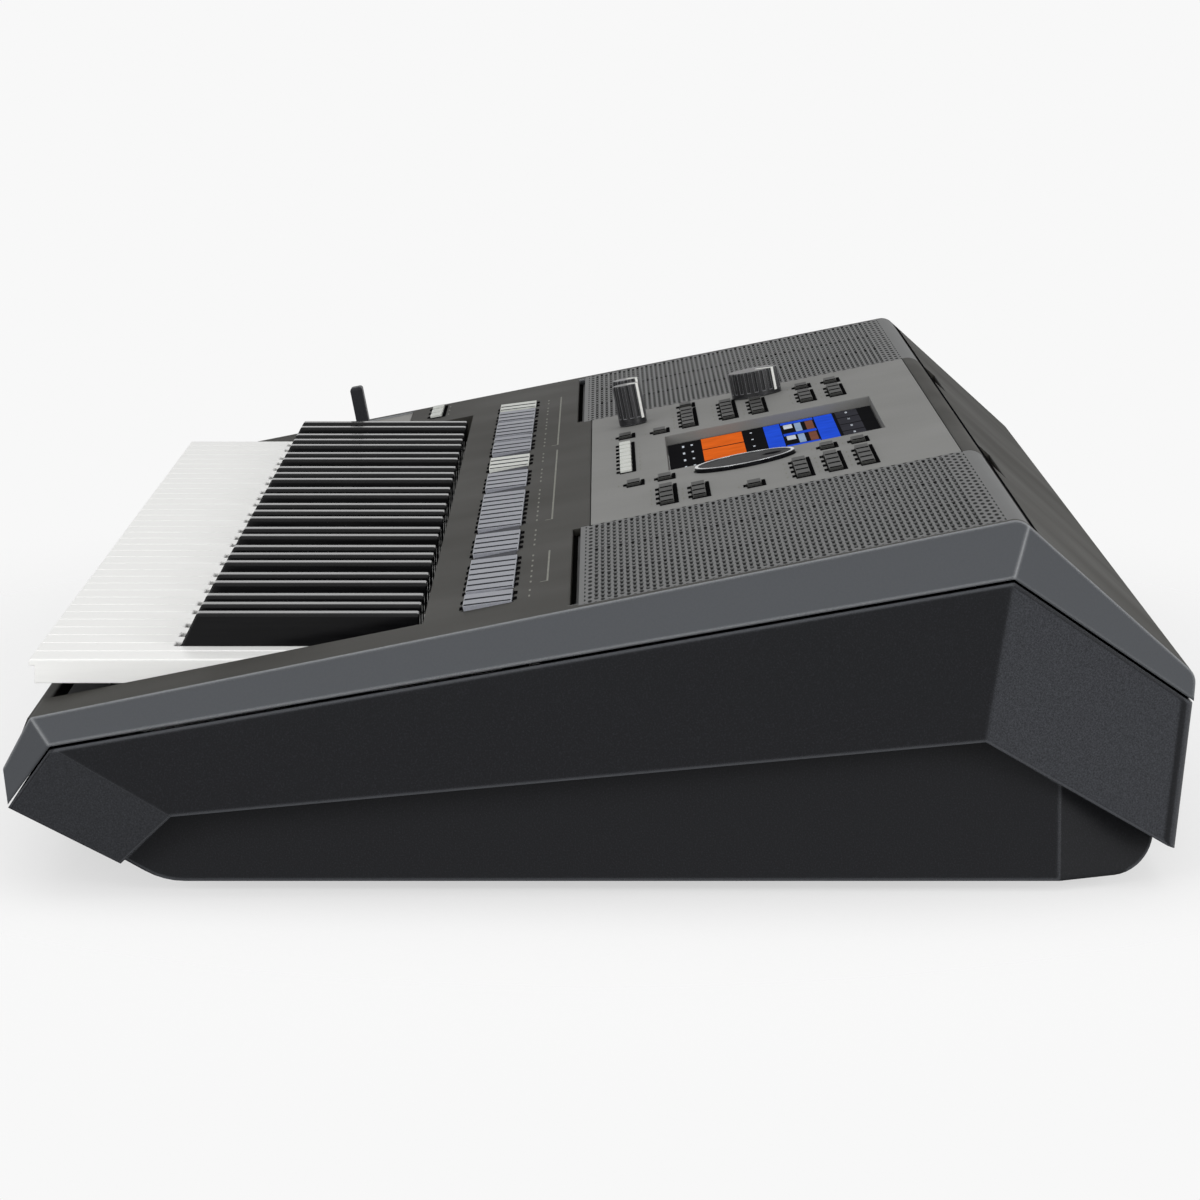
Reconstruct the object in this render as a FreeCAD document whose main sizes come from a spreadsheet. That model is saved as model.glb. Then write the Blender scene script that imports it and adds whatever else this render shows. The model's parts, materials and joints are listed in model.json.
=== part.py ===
"""Arranger keyboard with 61 keys, built as a parametric assembly in millimetres.

+X runs along the keys to the treble end, +Y to the rear and +Z up. The origin is on the
floor under the middle of the case.
"""
import FreeCAD
import Part
import Sketcher
import math
import os
import re

DIMS = {
    # keys
    "white_count": 36,
    "white_pitch": 23.5,
    "key_gap": 1.2,
    "key_side_gap": 1.0,
    "key_setback": 5.6,
    "key_well_depth": 151.0,
    "key_drop": 13.3,
    "white_head": 51.0,
    "white_height": 9.0,
    "key_skin": 2.2,
    "key_lip": 2.2,
    "key_lip_height": 2.5,
    "beam_height": 12.0,
    "hinge_reach": 43.5,
    "pivot_drop": 8.0,
    "pivot_radius": 4.0,
    "pivot_clearance": 0.3,
    "key_dip": 3.0,
    "black_width": 11.0,
    "black_top_width": 9.0,
    "black_rise": 12.0,
    "black_nose": 7.0,
    "black_side_gap": 1.35,
    "black_tail_gap": 2.5,
    "key_round": 0.8,
    # keybed
    "felt_setback": 16.0,
    "felt_width": 14.0,
    "felt_thickness": 8.0,
    "felt_clearance": 0.4,
    "chassis_setback": 13.0,
    "chassis_sheet": 2.0,
    "rail_thickness": 11.0,
    "rail_overlap": 8.0,
    "rail_gap": 0.5,
    "contact_setback": 106.0,
    "contact_width": 40.0,
    "contact_thickness": 4.0,
    "contact_clearance": 1.5,
    # outer case
    "left_cheek": 114.5,
    "right_cheek": 56.5,
    "case_depth": 433.0,
    "foot_height": 4.0,
    "foot_radius": 11.0,
    "foot_end_inset": 110.0,
    "foot_front_inset": 86.0,
    "foot_rear_inset": 56.0,
    "wall": 3.0,
    "ridge_height": 138.7,
    "ridge_setback": 65.0,
    "ridge_round": 7.0,
    "edge_round": 2.5,
    "lip_round": 6.0,
    "panel_angle": 11.31,
    "lip_height": 80.0,
    "lip_band": 9.0,
    "lip_undercut": 1.2,
    "nose_setback": 10.7,
    "nose_height": 47.5,
    "nose_undercut": 1.9,
    "nose_foot_height": 34.7,
    "parting_gap": 1.2,
    "cheek_setback": 18.5,
    "band_front": 11.0,
    "band_ridge": 19.7,
    "band_corner": 3.5,
    "band_lean": 35.0,
    "front_facet": 13.0,
    "rear_facet": 24.0,
    "corner_round": 6.0,
    "skirt_inset": 11.0,
    "tub_inset": 28.5,
    "tub_corner_width": 22.0,
    "tub_corner_length": 36.0,
    "crease_front_setback": 61.4,
    "crease_front_height": 31.3,
    "crease_rear_setback": 77.5,
    "crease_rear_height": 57.8,
    "jowl_setback": 42.1,
    "jowl_height": 12.2,
    "tail_setback": 6.0,
    "tail_height": 14.5,
    "base_front_setback": 56.9,
    "base_rear_setback": 12.9,
    "base_front_round": 30.0,
    "base_rear_round": 15.0,
    "rail_seat": 50.0,
    "front_rail_height": 10.0,
    "front_rail_depth": 9.0,
    "front_rail_lean": 4.0,
    # screws and posts
    "post_radius": 5.0,
    "post_inset": 34.5,
    "post_rear_inset": 36.5,
    "post_span": 260.0,
    "post_web": 8.0,
    "screw_radius": 1.45,
    "screw_head_radius": 2.8,
    "screw_head": 2.0,
    "screw_grip": 6.0,
    "screw_clearance": 0.2,
    "head_clearance": 0.5,
    "pilot_clearance": 0.05,
    # panel plates
    "plate": 1.6,
    "plate_gap": 0.4,
    "ledge": 4.0,
    "centre_half": 233.0,
    "end_margin": 18.5,
    "seam_front": 11.6,
    "grille_front": 8.2,
    "centre_front": 4.5,
    "plate_rear_margin": 5.0,
    "grille_wrap": 4.0,
    "grille_rear_gap": 1.2,
    "rib_pitch": 2.4,
    "rib_slot": 1.1,
    "rib_bar": 3.0,
    "rib_border": 6.0,
    # speakers
    "baffle": 3.0,
    "baffle_rear_margin": 10.0,
    "driver_radius": 52.0,
    "driver_flange": 7.0,
    "driver_ring": 2.5,
    "driver_depth": 22.0,
    "driver_throat": 25.0,
    "cone_skin": 2.0,
    "magnet_radius": 30.0,
    "magnet_depth": 15.0,
    # display
    "display_half": 78.0,
    "display_front": 30.0,
    "display_length": 95.5,
    "display_recess": 4.5,
    "display_rim": 2.0,
    "glass": 1.2,
    "glass_border": 4.0,
    "module_border": 7.0,
    "module_depth": 7.0,
    # long buttons behind the keys
    "row_setback": 15.0,
    "row_length": 18.2,
    "row_end_right": 11.5,
    "row_end_left": 7.5,
    "narrow_gap": 9.0,
    "wide_gap": 21.0,
    "cap_gap": 0.9,
    "cap_clearance": 0.4,
    "cap_front_rise": 2.0,
    "cap_rear_rise": 0.7,
    "cap_depth": 6.0,
    "carrier": 1.6,
    # small buttons on the centre panel
    "small_width": 17.4,
    "small_length": 5.6,
    "small_rise": 1.4,
    "small_pitch": 18.0,
    "small_row_pitch": 13.5,
    "left_column": 124.0,
    "left_single": 11.8,
    "left_pair": 30.7,
    "left_rear_pair": 67.9,
    "left_pair_pitch": 14.0,
    "right_column": 30.0,
    "rear_row_inset": 13.5,
    "front_row_inset": 2.0,
    "number_width": 11.0,
    "number_length": 5.0,
    "number_pitch": 17.0,
    "number_front": 9.0,
    # articulation buttons
    "articulation_width": 15.0,
    "articulation_length": 5.8,
    "articulation_pitch": 22.0,
    "articulation_end": 31.5,
    "articulation_setback": 131.0,
    # boards
    "board": 1.6,
    "board_drop": 9.0,
    "board_margin": 5.0,
    "boss_radius": 3.0,
    "floor_boss_radius": 4.0,
    "main_board_lift": 12.0,
    "main_board_half": 235.0,
    "main_board_front": 146.0,
    "main_board_rear": 11.5,
    "boss_end": 18.0,
    "boss_right": 103.3,
    "boss_side": 8.0,
    "boss_front": 16.0,
    "boss_rear": 25.0,
    "board_part_front": 20.0,
    "heat_sink_width": 60.0,
    "heat_sink_length": 30.0,
    "heat_sink_height": 18.0,
    "capacitor_radius": 6.0,
    "capacitor_height": 20.0,
    "capacitor_pitch": 22.0,
    # dials and knobs
    "dial_radius": 21.8,
    "dial_height": 4.0,
    "dial_offset": 28.0,
    "dial_front": 63.0,
    "dial_sink": 2.4,
    "volume_radius": 12.0,
    "volume_height": 12.0,
    "volume_inset": 40.0,
    "volume_front": 76.5,
    "knob_radius": 6.6,
    "knob_height": 19.0,
    "knob_inset": 35.0,
    "knob_spacing": 30.0,
    "knob_front": 16.0,
    "shaft_radius": 3.0,
    "shaft_length": 8.0,
    "shaft_clearance": 0.3,
    "knob_lift": 0.5,
    "flute_radius": 0.9,
    # joystick
    "joystick_inset": 55.5,
    "joystick_setback": 92.5,
    "joystick_drop": 14.0,
    "ball_radius": 17.0,
    "ball_clearance": 0.5,
    "ball_flat": 8.0,
    "lever_width": 12.0,
    "lever_thickness": 6.4,
    "lever_height": 22.0,
    "ring_width": 3.5,
    "ring_thickness": 5.0,
    "axle_radius": 1.5,
    "axle_clearance": 0.2,
    "axle_post": 4.0,
    "axle_gap": 1.0,
    "tray_depth": 1.2,
    "tray_front": 24.0,
    "tray_rear": 25.0,
    "tray_end": 16.0,
    "tray_side": 12.0,
    # music rest slots
    "slot_length": 90.0,
    "slot_width": 5.0,
    "slot_depth": 22.0,
    "slot_offset": 200.0,
    "slot_setback": 56.0,
    # rear sockets
    "jack_bore": 3.2,
    "jack_bush": 5.5,
    "jack_width": 13.0,
    "jack_length": 22.0,
    "jack_height": 14.0,
    "jack_pitch": 24.0,
    "jack_bore_length": 18.0,
    "jack_proud": 1.5,
    "jack_first": 160.0,
    "usb_width": 12.0,
    "usb_height": 11.0,
    "usb_skin": 1.0,
    "usb_first": 40.0,
    "usb_pitch": 30.0,
    "inlet_width": 10.0,
    "inlet_bore": 3.1,
    "inlet_pin": 1.0,
    "inlet_place": 130.0,
    "socket_clearance": 0.4,
    "power_radius": 4.5,
    "power_length": 12.0,
    "power_place": 165.0,
    "power_height": 30.0,
}

CALC = {
    "case_half": "(white_pitch * white_count + left_cheek + right_cheek) / 2",
    "front_y": "-case_depth / 2",
    "rear_y": "case_depth / 2",
    "panel_tan": "tan(panel_angle * 1 deg)",
    "panel_cos": "cos(panel_angle * 1 deg)",
    "ridge_y": "rear_y - ridge_setback",
    "panel_level": "ridge_height - ridge_y * panel_tan",
    "deck_tan": "(ridge_height - lip_height) / (rear_y - ridge_y)",
    "deck_cos": "1 / sqrt(1 + deck_tan ^ 2)",
    "deck_sin": "deck_tan * deck_cos",
    "panel_sin": "sin(panel_angle * 1 deg)",
    "key_left": "-case_half + left_cheek",
    "key_right": "case_half - right_cheek",
    "well_left": "key_left - key_side_gap",
    "well_right": "key_right + key_side_gap",
    "key_front": "front_y + key_setback",
    "fallboard_y": "front_y + key_well_depth",
    "key_top": "panel_level + fallboard_y * panel_tan - key_drop",
    "white_bottom": "key_top - white_height",
    "beam_bottom": "key_top - beam_height",
    "pivot_y": "fallboard_y + hinge_reach",
    "pivot_z": "key_top - pivot_drop",
    "octave": "white_pitch * 7",
    "black_front": "key_front + white_head + black_side_gap",
    "black_rear": "fallboard_y - black_tail_gap",
    "dip_sin": "sin(key_dip * 1 deg)",
    "dip_cos": "cos(key_dip * 1 deg)",
    "felt_y": "front_y + felt_setback",
    "felt_top": "pivot_z - (pivot_y - felt_y) * dip_sin - (pivot_z - white_bottom) * dip_cos"
                " - felt_clearance",
    "chassis_top": "felt_top - felt_thickness",
    "chassis_bottom": "chassis_top - chassis_sheet",
    "contact_y": "front_y + contact_setback",
    "contact_top": "pivot_z - (pivot_y - contact_y) * dip_sin - (pivot_z - beam_bottom) * dip_cos"
                   " - contact_clearance",
    "rail_bottom": "pivot_z - rail_overlap",
    "rail_y": "pivot_y + rail_gap",
    # side profile
    "nose_top_y": "front_y + nose_setback",
    "nose_top_z": "panel_level + nose_top_y * panel_tan",
    "part_front_y": "front_y + nose_undercut",
    "part_corner_y": "front_y + cheek_setback",
    "part_corner_z": "panel_level + part_corner_y * panel_tan - band_front",
    "part_ridge_y": "ridge_y - band_corner",
    "part_ridge_z": "panel_level + part_ridge_y * panel_tan - band_ridge",
    "part_rear_y": "rear_y - lip_undercut",
    "part_rear_z": "lip_height - lip_band",
    "part_slope": "(part_ridge_z - part_corner_z) / (part_ridge_y - part_corner_y)",
    "part_fall": "(part_rear_z - part_ridge_z) / (part_rear_y - part_ridge_y)",
    "crease_front_y": "front_y + crease_front_setback",
    "crease_rear_y": "rear_y - crease_rear_setback",
    "jowl_y": "front_y + jowl_setback",
    "tail_y": "rear_y - tail_setback",
    "base_front_y": "front_y + base_front_setback",
    "base_rear_y": "rear_y - base_rear_setback",
    "tub_half": "case_half - tub_inset",
    "floor": "foot_height + wall",
    # measures along the sloping panel
    "fallboard_s": "fallboard_y / panel_cos",
    "plate_rear": "ridge_y / panel_cos - plate_rear_margin",
    "grille_outer": "case_half - end_margin",
    "row_front": "fallboard_s + row_setback",
    "row_rear": "row_front + row_length",
    "row_left": "key_left - row_end_left",
    "row_right": "key_right - row_end_right",
    "display_rear": "display_front + display_length",
    "dial_x": "display_half + dial_offset",
    "volume_x": "-centre_half + volume_inset",
    "joystick_x": "-case_half + joystick_inset",
    "joystick_s": "(front_y + joystick_setback) / panel_cos",
    "ring_inner": "ball_radius + ball_clearance",
    "ring_outer": "ring_inner + ring_width",
    "articulation_s": "(front_y + articulation_setback) / panel_cos",
    "board_top": "floor + main_board_lift + board",
    "jack_z": "board_top + jack_height / 2",
    "socket_y": "tail_y - main_board_rear / 2",
}

NOTES = ["c", "d", "e", "f", "g", "a", "b"]
BLACK_SLOTS = [("c_sharp", 1.5, 0), ("d_sharp", 3.5, 1), ("f_sharp", 6.5, 3), ("g_sharp", 8.5, 4),
               ("a_sharp", 10.5, 5)]
OCTAVES = 5

# number of buttons in each group from the treble end, and the gap that follows it
ROW = [(1, [2], "narrow_gap"), (2, [6], "wide_gap"), (3, [4], "wide_gap"), (4, [8], "wide_gap"),
       (5, [4], "wide_gap"), (6, [3], "wide_gap"), (7, [3, 1], "narrow_gap"), (8, [4], "narrow_gap"),
       (9, [3], "narrow_gap"), (10, [2], None)]
ROW_COUNT = sum(sum(counts) for _, counts, _ in ROW)
ROW_NARROW = sum(1 for _, _, gap in ROW if gap == "narrow_gap") + 1
ROW_WIDE = sum(1 for _, _, gap in ROW if gap == "wide_gap")
CALC["button_pitch"] = (f"(row_right - row_left - {ROW_NARROW} * narrow_gap - {ROW_WIDE} * wide_gap)"
                        f" / {ROW_COUNT}")

Vector = FreeCAD.Vector
X_AXIS = Vector(1, 0, 0)
Y_AXIS = Vector(0, 1, 0)
Z_AXIS = Vector(0, 0, 1)
doc = FreeCAD.newDocument("ArrangerKeyboard")
subparts = []


def ex(formula):
    """Put the sheet's name before every named value in a formula."""
    def qualify(match):
        word = match.group()
        if word in DIMS:
            return "Dims." + word
        if word in CALC:
            return "Calc." + word
        return word
    return re.sub(r"[A-Za-z_]\w*", qualify, str(formula))


def write_sheet(name, cells, prefix):
    sheet = doc.addObject("Spreadsheet::Sheet", name)
    for row, (alias, content) in enumerate(cells.items(), start=1):
        sheet.set(f"A{row}", prefix + (ex(content) if prefix else str(content)))
        sheet.setAlias(f"A{row}", alias)
    doc.recompute()
    return sheet


dims = write_sheet("Dims", DIMS, "")
calc = write_sheet("Calc", CALC, "=")


def value(formula):
    return float(calc.evalExpression(ex(formula)))


def bind(obj, prop, formula):
    obj.setExpression(prop, ex(formula))


def place(obj, base, turn=None):
    """Bind an object's position, after turning it once by a fixed rotation."""
    if turn is not None:
        obj.Placement = FreeCAD.Placement(Vector(0, 0, 0), turn)
    for axis, formula in zip("xyz", base):
        bind(obj, f"Placement.Base.{axis}", formula)
    return obj


def box(name, x_span, y_span, z_span):
    obj = doc.addObject("Part::Box", name)
    for prop, (low, high) in zip(("Length", "Width", "Height"), (x_span, y_span, z_span)):
        bind(obj, prop, f"({high}) - ({low})")
    return place(obj, (x_span[0], y_span[0], z_span[0]))


def cylinder(name, base, axis, radius, length):
    obj = doc.addObject("Part::Cylinder", name)
    bind(obj, "Radius", radius)
    bind(obj, "Height", length)
    return place(obj, base, FreeCAD.Rotation(Z_AXIS, axis))


def cone(name, base, low_radius, high_radius, length):
    obj = doc.addObject("Part::Cone", name)
    bind(obj, "Radius1", low_radius)
    bind(obj, "Radius2", high_radius)
    bind(obj, "Height", length)
    return place(obj, base)


def sphere(name, base, radius):
    obj = doc.addObject("Part::Sphere", name)
    bind(obj, "Radius", radius)
    return place(obj, base)


def compound(name, members):
    obj = doc.addObject("Part::Compound", name)
    obj.Links = members
    return obj


def fuse(name, members):
    obj = doc.addObject("Part::MultiFuse", name)
    obj.Shapes = members
    obj.Refine = True
    return obj


def cut(name, base, tools):
    """Cut tools that lie clear of each other out of a base."""
    obj = doc.addObject("Part::Cut", name)
    obj.Base = base
    obj.Tool = tools[0] if len(tools) == 1 else compound(name + "_tools", tools)
    obj.Refine = True
    return obj


def prism(name, x_span, outline):
    """Pad a closed outline of (y, z) formulas along X."""
    body = doc.addObject("PartDesign::Body", name)
    sketch = body.newObject("Sketcher::SketchObject", name + "_outline")
    plane = [item for item in body.Origin.OriginFeatures if item.Role == "YZ_Plane"][0]
    sketch.AttachmentSupport = [(plane, "")]
    sketch.MapMode = "FlatFace"
    corners = [Vector(value(y), value(z), 0) for y, z in outline]
    count = len(corners)
    for index in range(count):
        sketch.addGeometry(Part.LineSegment(corners[index], corners[(index + 1) % count]), False)
    for index in range(count):
        sketch.addConstraint(Sketcher.Constraint("Coincident", index, 2, (index + 1) % count, 1))
    for index, (y, z) in enumerate(outline):
        for kind, formula, start in (("DistanceX", y, corners[index].x), ("DistanceY", z, corners[index].y)):
            number = sketch.addConstraint(Sketcher.Constraint(kind, -1, 1, index, 1, start))
            label = f"{kind}_{index}"
            sketch.renameConstraint(number, label)
            bind(sketch, f"Constraints.{label}", formula)
    pad = body.newObject("PartDesign::Pad", name + "_pad")
    pad.Profile = sketch
    bind(pad, "Length", f"({x_span[1]}) - ({x_span[0]})")
    bind(body, "Placement.Base.x", x_span[0])
    return body


def fillet(name, base, radius, wanted):
    """Round the edges of a base for which wanted(edge) is true."""
    base.recompute(True)
    obj = doc.addObject("Part::Fillet", name)
    obj.Base = base
    size = value(radius)
    edges = enumerate(base.Shape.Edges, start=1)
    obj.Edges = [(number, size, size) for number, edge in edges if wanted(edge)]
    return obj


def on_panel(obj):
    """Carry a piece made flat, with Y along the slope and Z along the normal, to the panel."""
    obj.Placement = FreeCAD.Placement(Vector(0, 0, 0), FreeCAD.Rotation(X_AXIS, 1))
    bind(obj, "Placement.Base.z", "panel_level")
    bind(obj, "Placement.Rotation.Angle", "panel_angle * 1 deg")
    return obj


def subpart(node, obj):
    obj.Label = node
    subparts.append(obj)
    return obj


def runs_along_x(edge):
    return abs(edge.Vertexes[0].Point.x - edge.Vertexes[-1].Point.x) > 0.99 * edge.Length


def case_point(x, y, z):
    return Vector(value(x), value(y), value(z))


PART_FRONT = case_point("case_half - front_facet", "part_front_y", "nose_foot_height")
PART_CORNER = case_point("case_half", "part_corner_y", "part_corner_z")
PART_RIDGE = case_point("case_half", "part_ridge_y", "part_ridge_z")
PART_REAR = case_point("case_half - rear_facet", "part_rear_y", "part_rear_z")
CREASE_REAR = case_point("case_half - skirt_inset", "crease_rear_y", "crease_rear_height")


def plane_through(first, second, third):
    normal = (second - first).cross(third - first).normalize()
    if normal.x < 0:
        normal = -normal
    return first, normal


def leaning_plane(first, second):
    """A plane through an edge of the case's end that leans inwards above it."""
    along = (second - first).normalize()
    outward = (X_AXIS - along * X_AXIS.dot(along)).normalize()
    upward = along.cross(outward)
    if upward.z < 0:
        upward = -upward
    lean = math.radians(value("band_lean"))
    return first, outward * math.cos(lean) + upward * math.sin(lean)


def on_plane(plane, y, z):
    point, normal = plane
    x = point.x - (normal.y * (y - point.y) + normal.z * (z - point.z)) / normal.x
    return Vector(x, y, z)


BAND_PLANES = [leaning_plane(PART_CORNER, PART_RIDGE), leaning_plane(PART_RIDGE, PART_REAR),
               leaning_plane(PART_FRONT, PART_CORNER)]
SKIRT_PLANE = plane_through(PART_CORNER, PART_RIDGE, CREASE_REAR)
CREASE_FRONT = on_plane(SKIRT_PLANE, value("crease_front_y"), value("crease_front_height"))
SKIRT_PLANES = [SKIRT_PLANE, plane_through(PART_CORNER, CREASE_FRONT, PART_FRONT),
                plane_through(PART_RIDGE, CREASE_REAR, PART_REAR)]
TUB_PLANES = [plane_through(case_point("tub_half", "base_rear_y - tub_corner_length", "0"),
                            case_point("tub_half", "base_rear_y - tub_corner_length", "ridge_height"),
                            case_point("tub_half - tub_corner_width", "base_rear_y", "0"))]


def trim_ends(name, solid, planes, inset):
    """Cut both ends of a long solid back to the end planes, moved inwards by an inset."""
    for side in (1, -1):
        for number, (point, normal) in enumerate(planes):
            end_point = point - normal * inset
            base = Vector(side * end_point.x, end_point.y, end_point.z)
            facing = Vector(side * normal.x, normal.y, normal.z)
            tool = doc.addObject("Part::Box", f"{name}_end")
            for prop in ("Length", "Width"):
                bind(tool, prop, "2 * case_half")
            bind(tool, "Height", "case_half / 4")
            half = value("case_half")
            middle = FreeCAD.Placement(Vector(-half, -half, 0), FreeCAD.Rotation())
            tool.Placement = FreeCAD.Placement(base, FreeCAD.Rotation(Z_AXIS, facing)).multiply(middle)
            solid = cut(f"{name}_trim", solid, [tool])
    return solid


def parting_at(y):
    """Height of the seam between the cases ahead of the ridge."""
    return f"part_corner_z + ({y} - part_corner_y) * part_slope"


def parting_behind(y):
    """Height of the seam between the cases behind the ridge."""
    return f"part_ridge_z + ({y} - part_ridge_y) * part_fall"


SCREWS = []
for post_x, post_y in (("case_half - post_inset", "fallboard_y - 1.3 * post_inset"),
                       ("case_half - post_inset", "fallboard_y + post_inset"),
                       ("well_left - wall - 3.5 * post_radius", "part_corner_y + 0.8 * post_inset"),
                       ("-case_half + post_inset", "fallboard_y + post_inset / 2")):
    SCREWS.append((post_x, post_y, parting_at(post_y)))
for post_x in ("grille_outer - 2 * post_inset + end_margin", "post_span", "-post_span",
               "-grille_outer + 2 * post_inset - end_margin"):
    SCREWS.append((post_x, "rear_y - post_rear_inset", parting_behind("(rear_y - post_rear_inset)")))


def screw_posts(name):
    return [cylinder(name, (x, y, "0"), Z_AXIS, "post_radius", "ridge_height") for x, y, _ in SCREWS]


def row_groups():
    """Right and left edges of the long buttons, one list of stretches for each group."""
    edge = "row_right"
    groups = []
    for number, counts, gap in ROW:
        stretches = []
        for place_in_group, count in enumerate(counts):
            if place_in_group:
                edge += " - narrow_gap"
            left = f"{edge} - {count} * button_pitch"
            stretches.append((left, edge, count))
            edge = left
        groups.append((number, stretches))
        if gap:
            edge += f" - {gap}"
    return groups


# small buttons as (x, distance behind the panel's zero line), by group
RIGHT_COLUMNS = [f"centre_half - right_column - {column} * small_pitch" for column in range(4)]
LEFT_COLUMN = "-centre_half + left_column"
REAR_ROWS = [f"display_rear - rear_row_inset - {row} * small_row_pitch" for row in range(3)]
FRONT_ROW = "display_front - front_row_inset"
# rows of buttons left of the display, by distance behind its front edge: places along the row, in pitches
LEFT_ROWS = {
    "left_single": (0, 1, 2, 3, 4, 5.5),
    "left_pair": (0, 1, 2, 3, 4),
    "left_pair + left_pair_pitch": (0, 1, 2, 3),
    "left_rear_pair": (0.5, 1.5, 2.5, 4.4),
    "left_rear_pair + left_pair_pitch": (0.5, 1.5, 2.5, 4.4),
    "(-front_row_inset)": (-0.2,),
    "(-front_row_inset - 0.9 * small_pitch)": (0.2,),
}
SMALL_GROUPS = {
    "left_buttons": [(f"{LEFT_COLUMN} - ({column}) * small_pitch", f"display_front + {behind}")
                     for behind, columns in LEFT_ROWS.items() for column in columns],
    "right_rear_buttons": [(column, row) for row in REAR_ROWS for column in RIGHT_COLUMNS],
    "right_front_buttons": [(column, FRONT_ROW) for column in RIGHT_COLUMNS]
                           + [(column, f"{FRONT_ROW} + small_row_pitch") for column in RIGHT_COLUMNS[:3]]
                           + [(RIGHT_COLUMNS[0], f"{FRONT_ROW} + 2.7 * small_row_pitch")],
    "exit_buttons": [("dial_x + dial_radius / 5", row) for row in REAR_ROWS[:2]],
    "page_buttons": [("dial_x", FRONT_ROW), ("dial_x", f"{FRONT_ROW} - small_row_pitch")],
}
ARTICULATION = [(f"-case_half + articulation_end + {number} * articulation_pitch", "articulation_s")
                for number in range(3)]
NUMBERS = [(f"-display_half + {number} * number_pitch + number_width / 2",
            "number_front + number_length / 2") for number in range(8)]


def caps_at(name, centres, width, length, low, high, grow="0"):
    return [box(name, (f"{x} - {width} / 2 - {grow}", f"{x} + {width} / 2 + {grow}"),
                (f"{along} - {length} / 2 - {grow}", f"{along} + {length} / 2 + {grow}"), (low, high))
            for x, along in centres]


def rounded_tub(name, tub, inset):
    """Round the tub's front and rear edges underneath, less an inset for its hollow."""
    low = value(f"foot_height + {inset}")
    turned = fillet(f"{name}_front", tub, f"base_front_round - {inset}",
                    lambda edge: runs_along_x(edge) and abs(edge.CenterOfMass.z - low) < 0.01
                    and edge.CenterOfMass.y < 0)
    return fillet(f"{name}_rear", turned, f"base_rear_round - {inset}",
                  lambda edge: runs_along_x(edge) and abs(edge.CenterOfMass.z - low) < 0.01
                  and edge.CenterOfMass.y > value(f"base_rear_y - {inset}") - 0.01)


def is_rear_corner(edge):
    """The upright outer edge between either end of the lower case and its rear wall."""
    points = [vertex.Point for vertex in edge.Vertexes]
    low, high = min(point.z for point in points), max(point.z for point in points)
    outside = min(point.y for point in points) > value("tail_y") - 0.01
    return outside and low < value("tail_height + wall") and high > value("part_rear_z - 2 * parting_gap")


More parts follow.
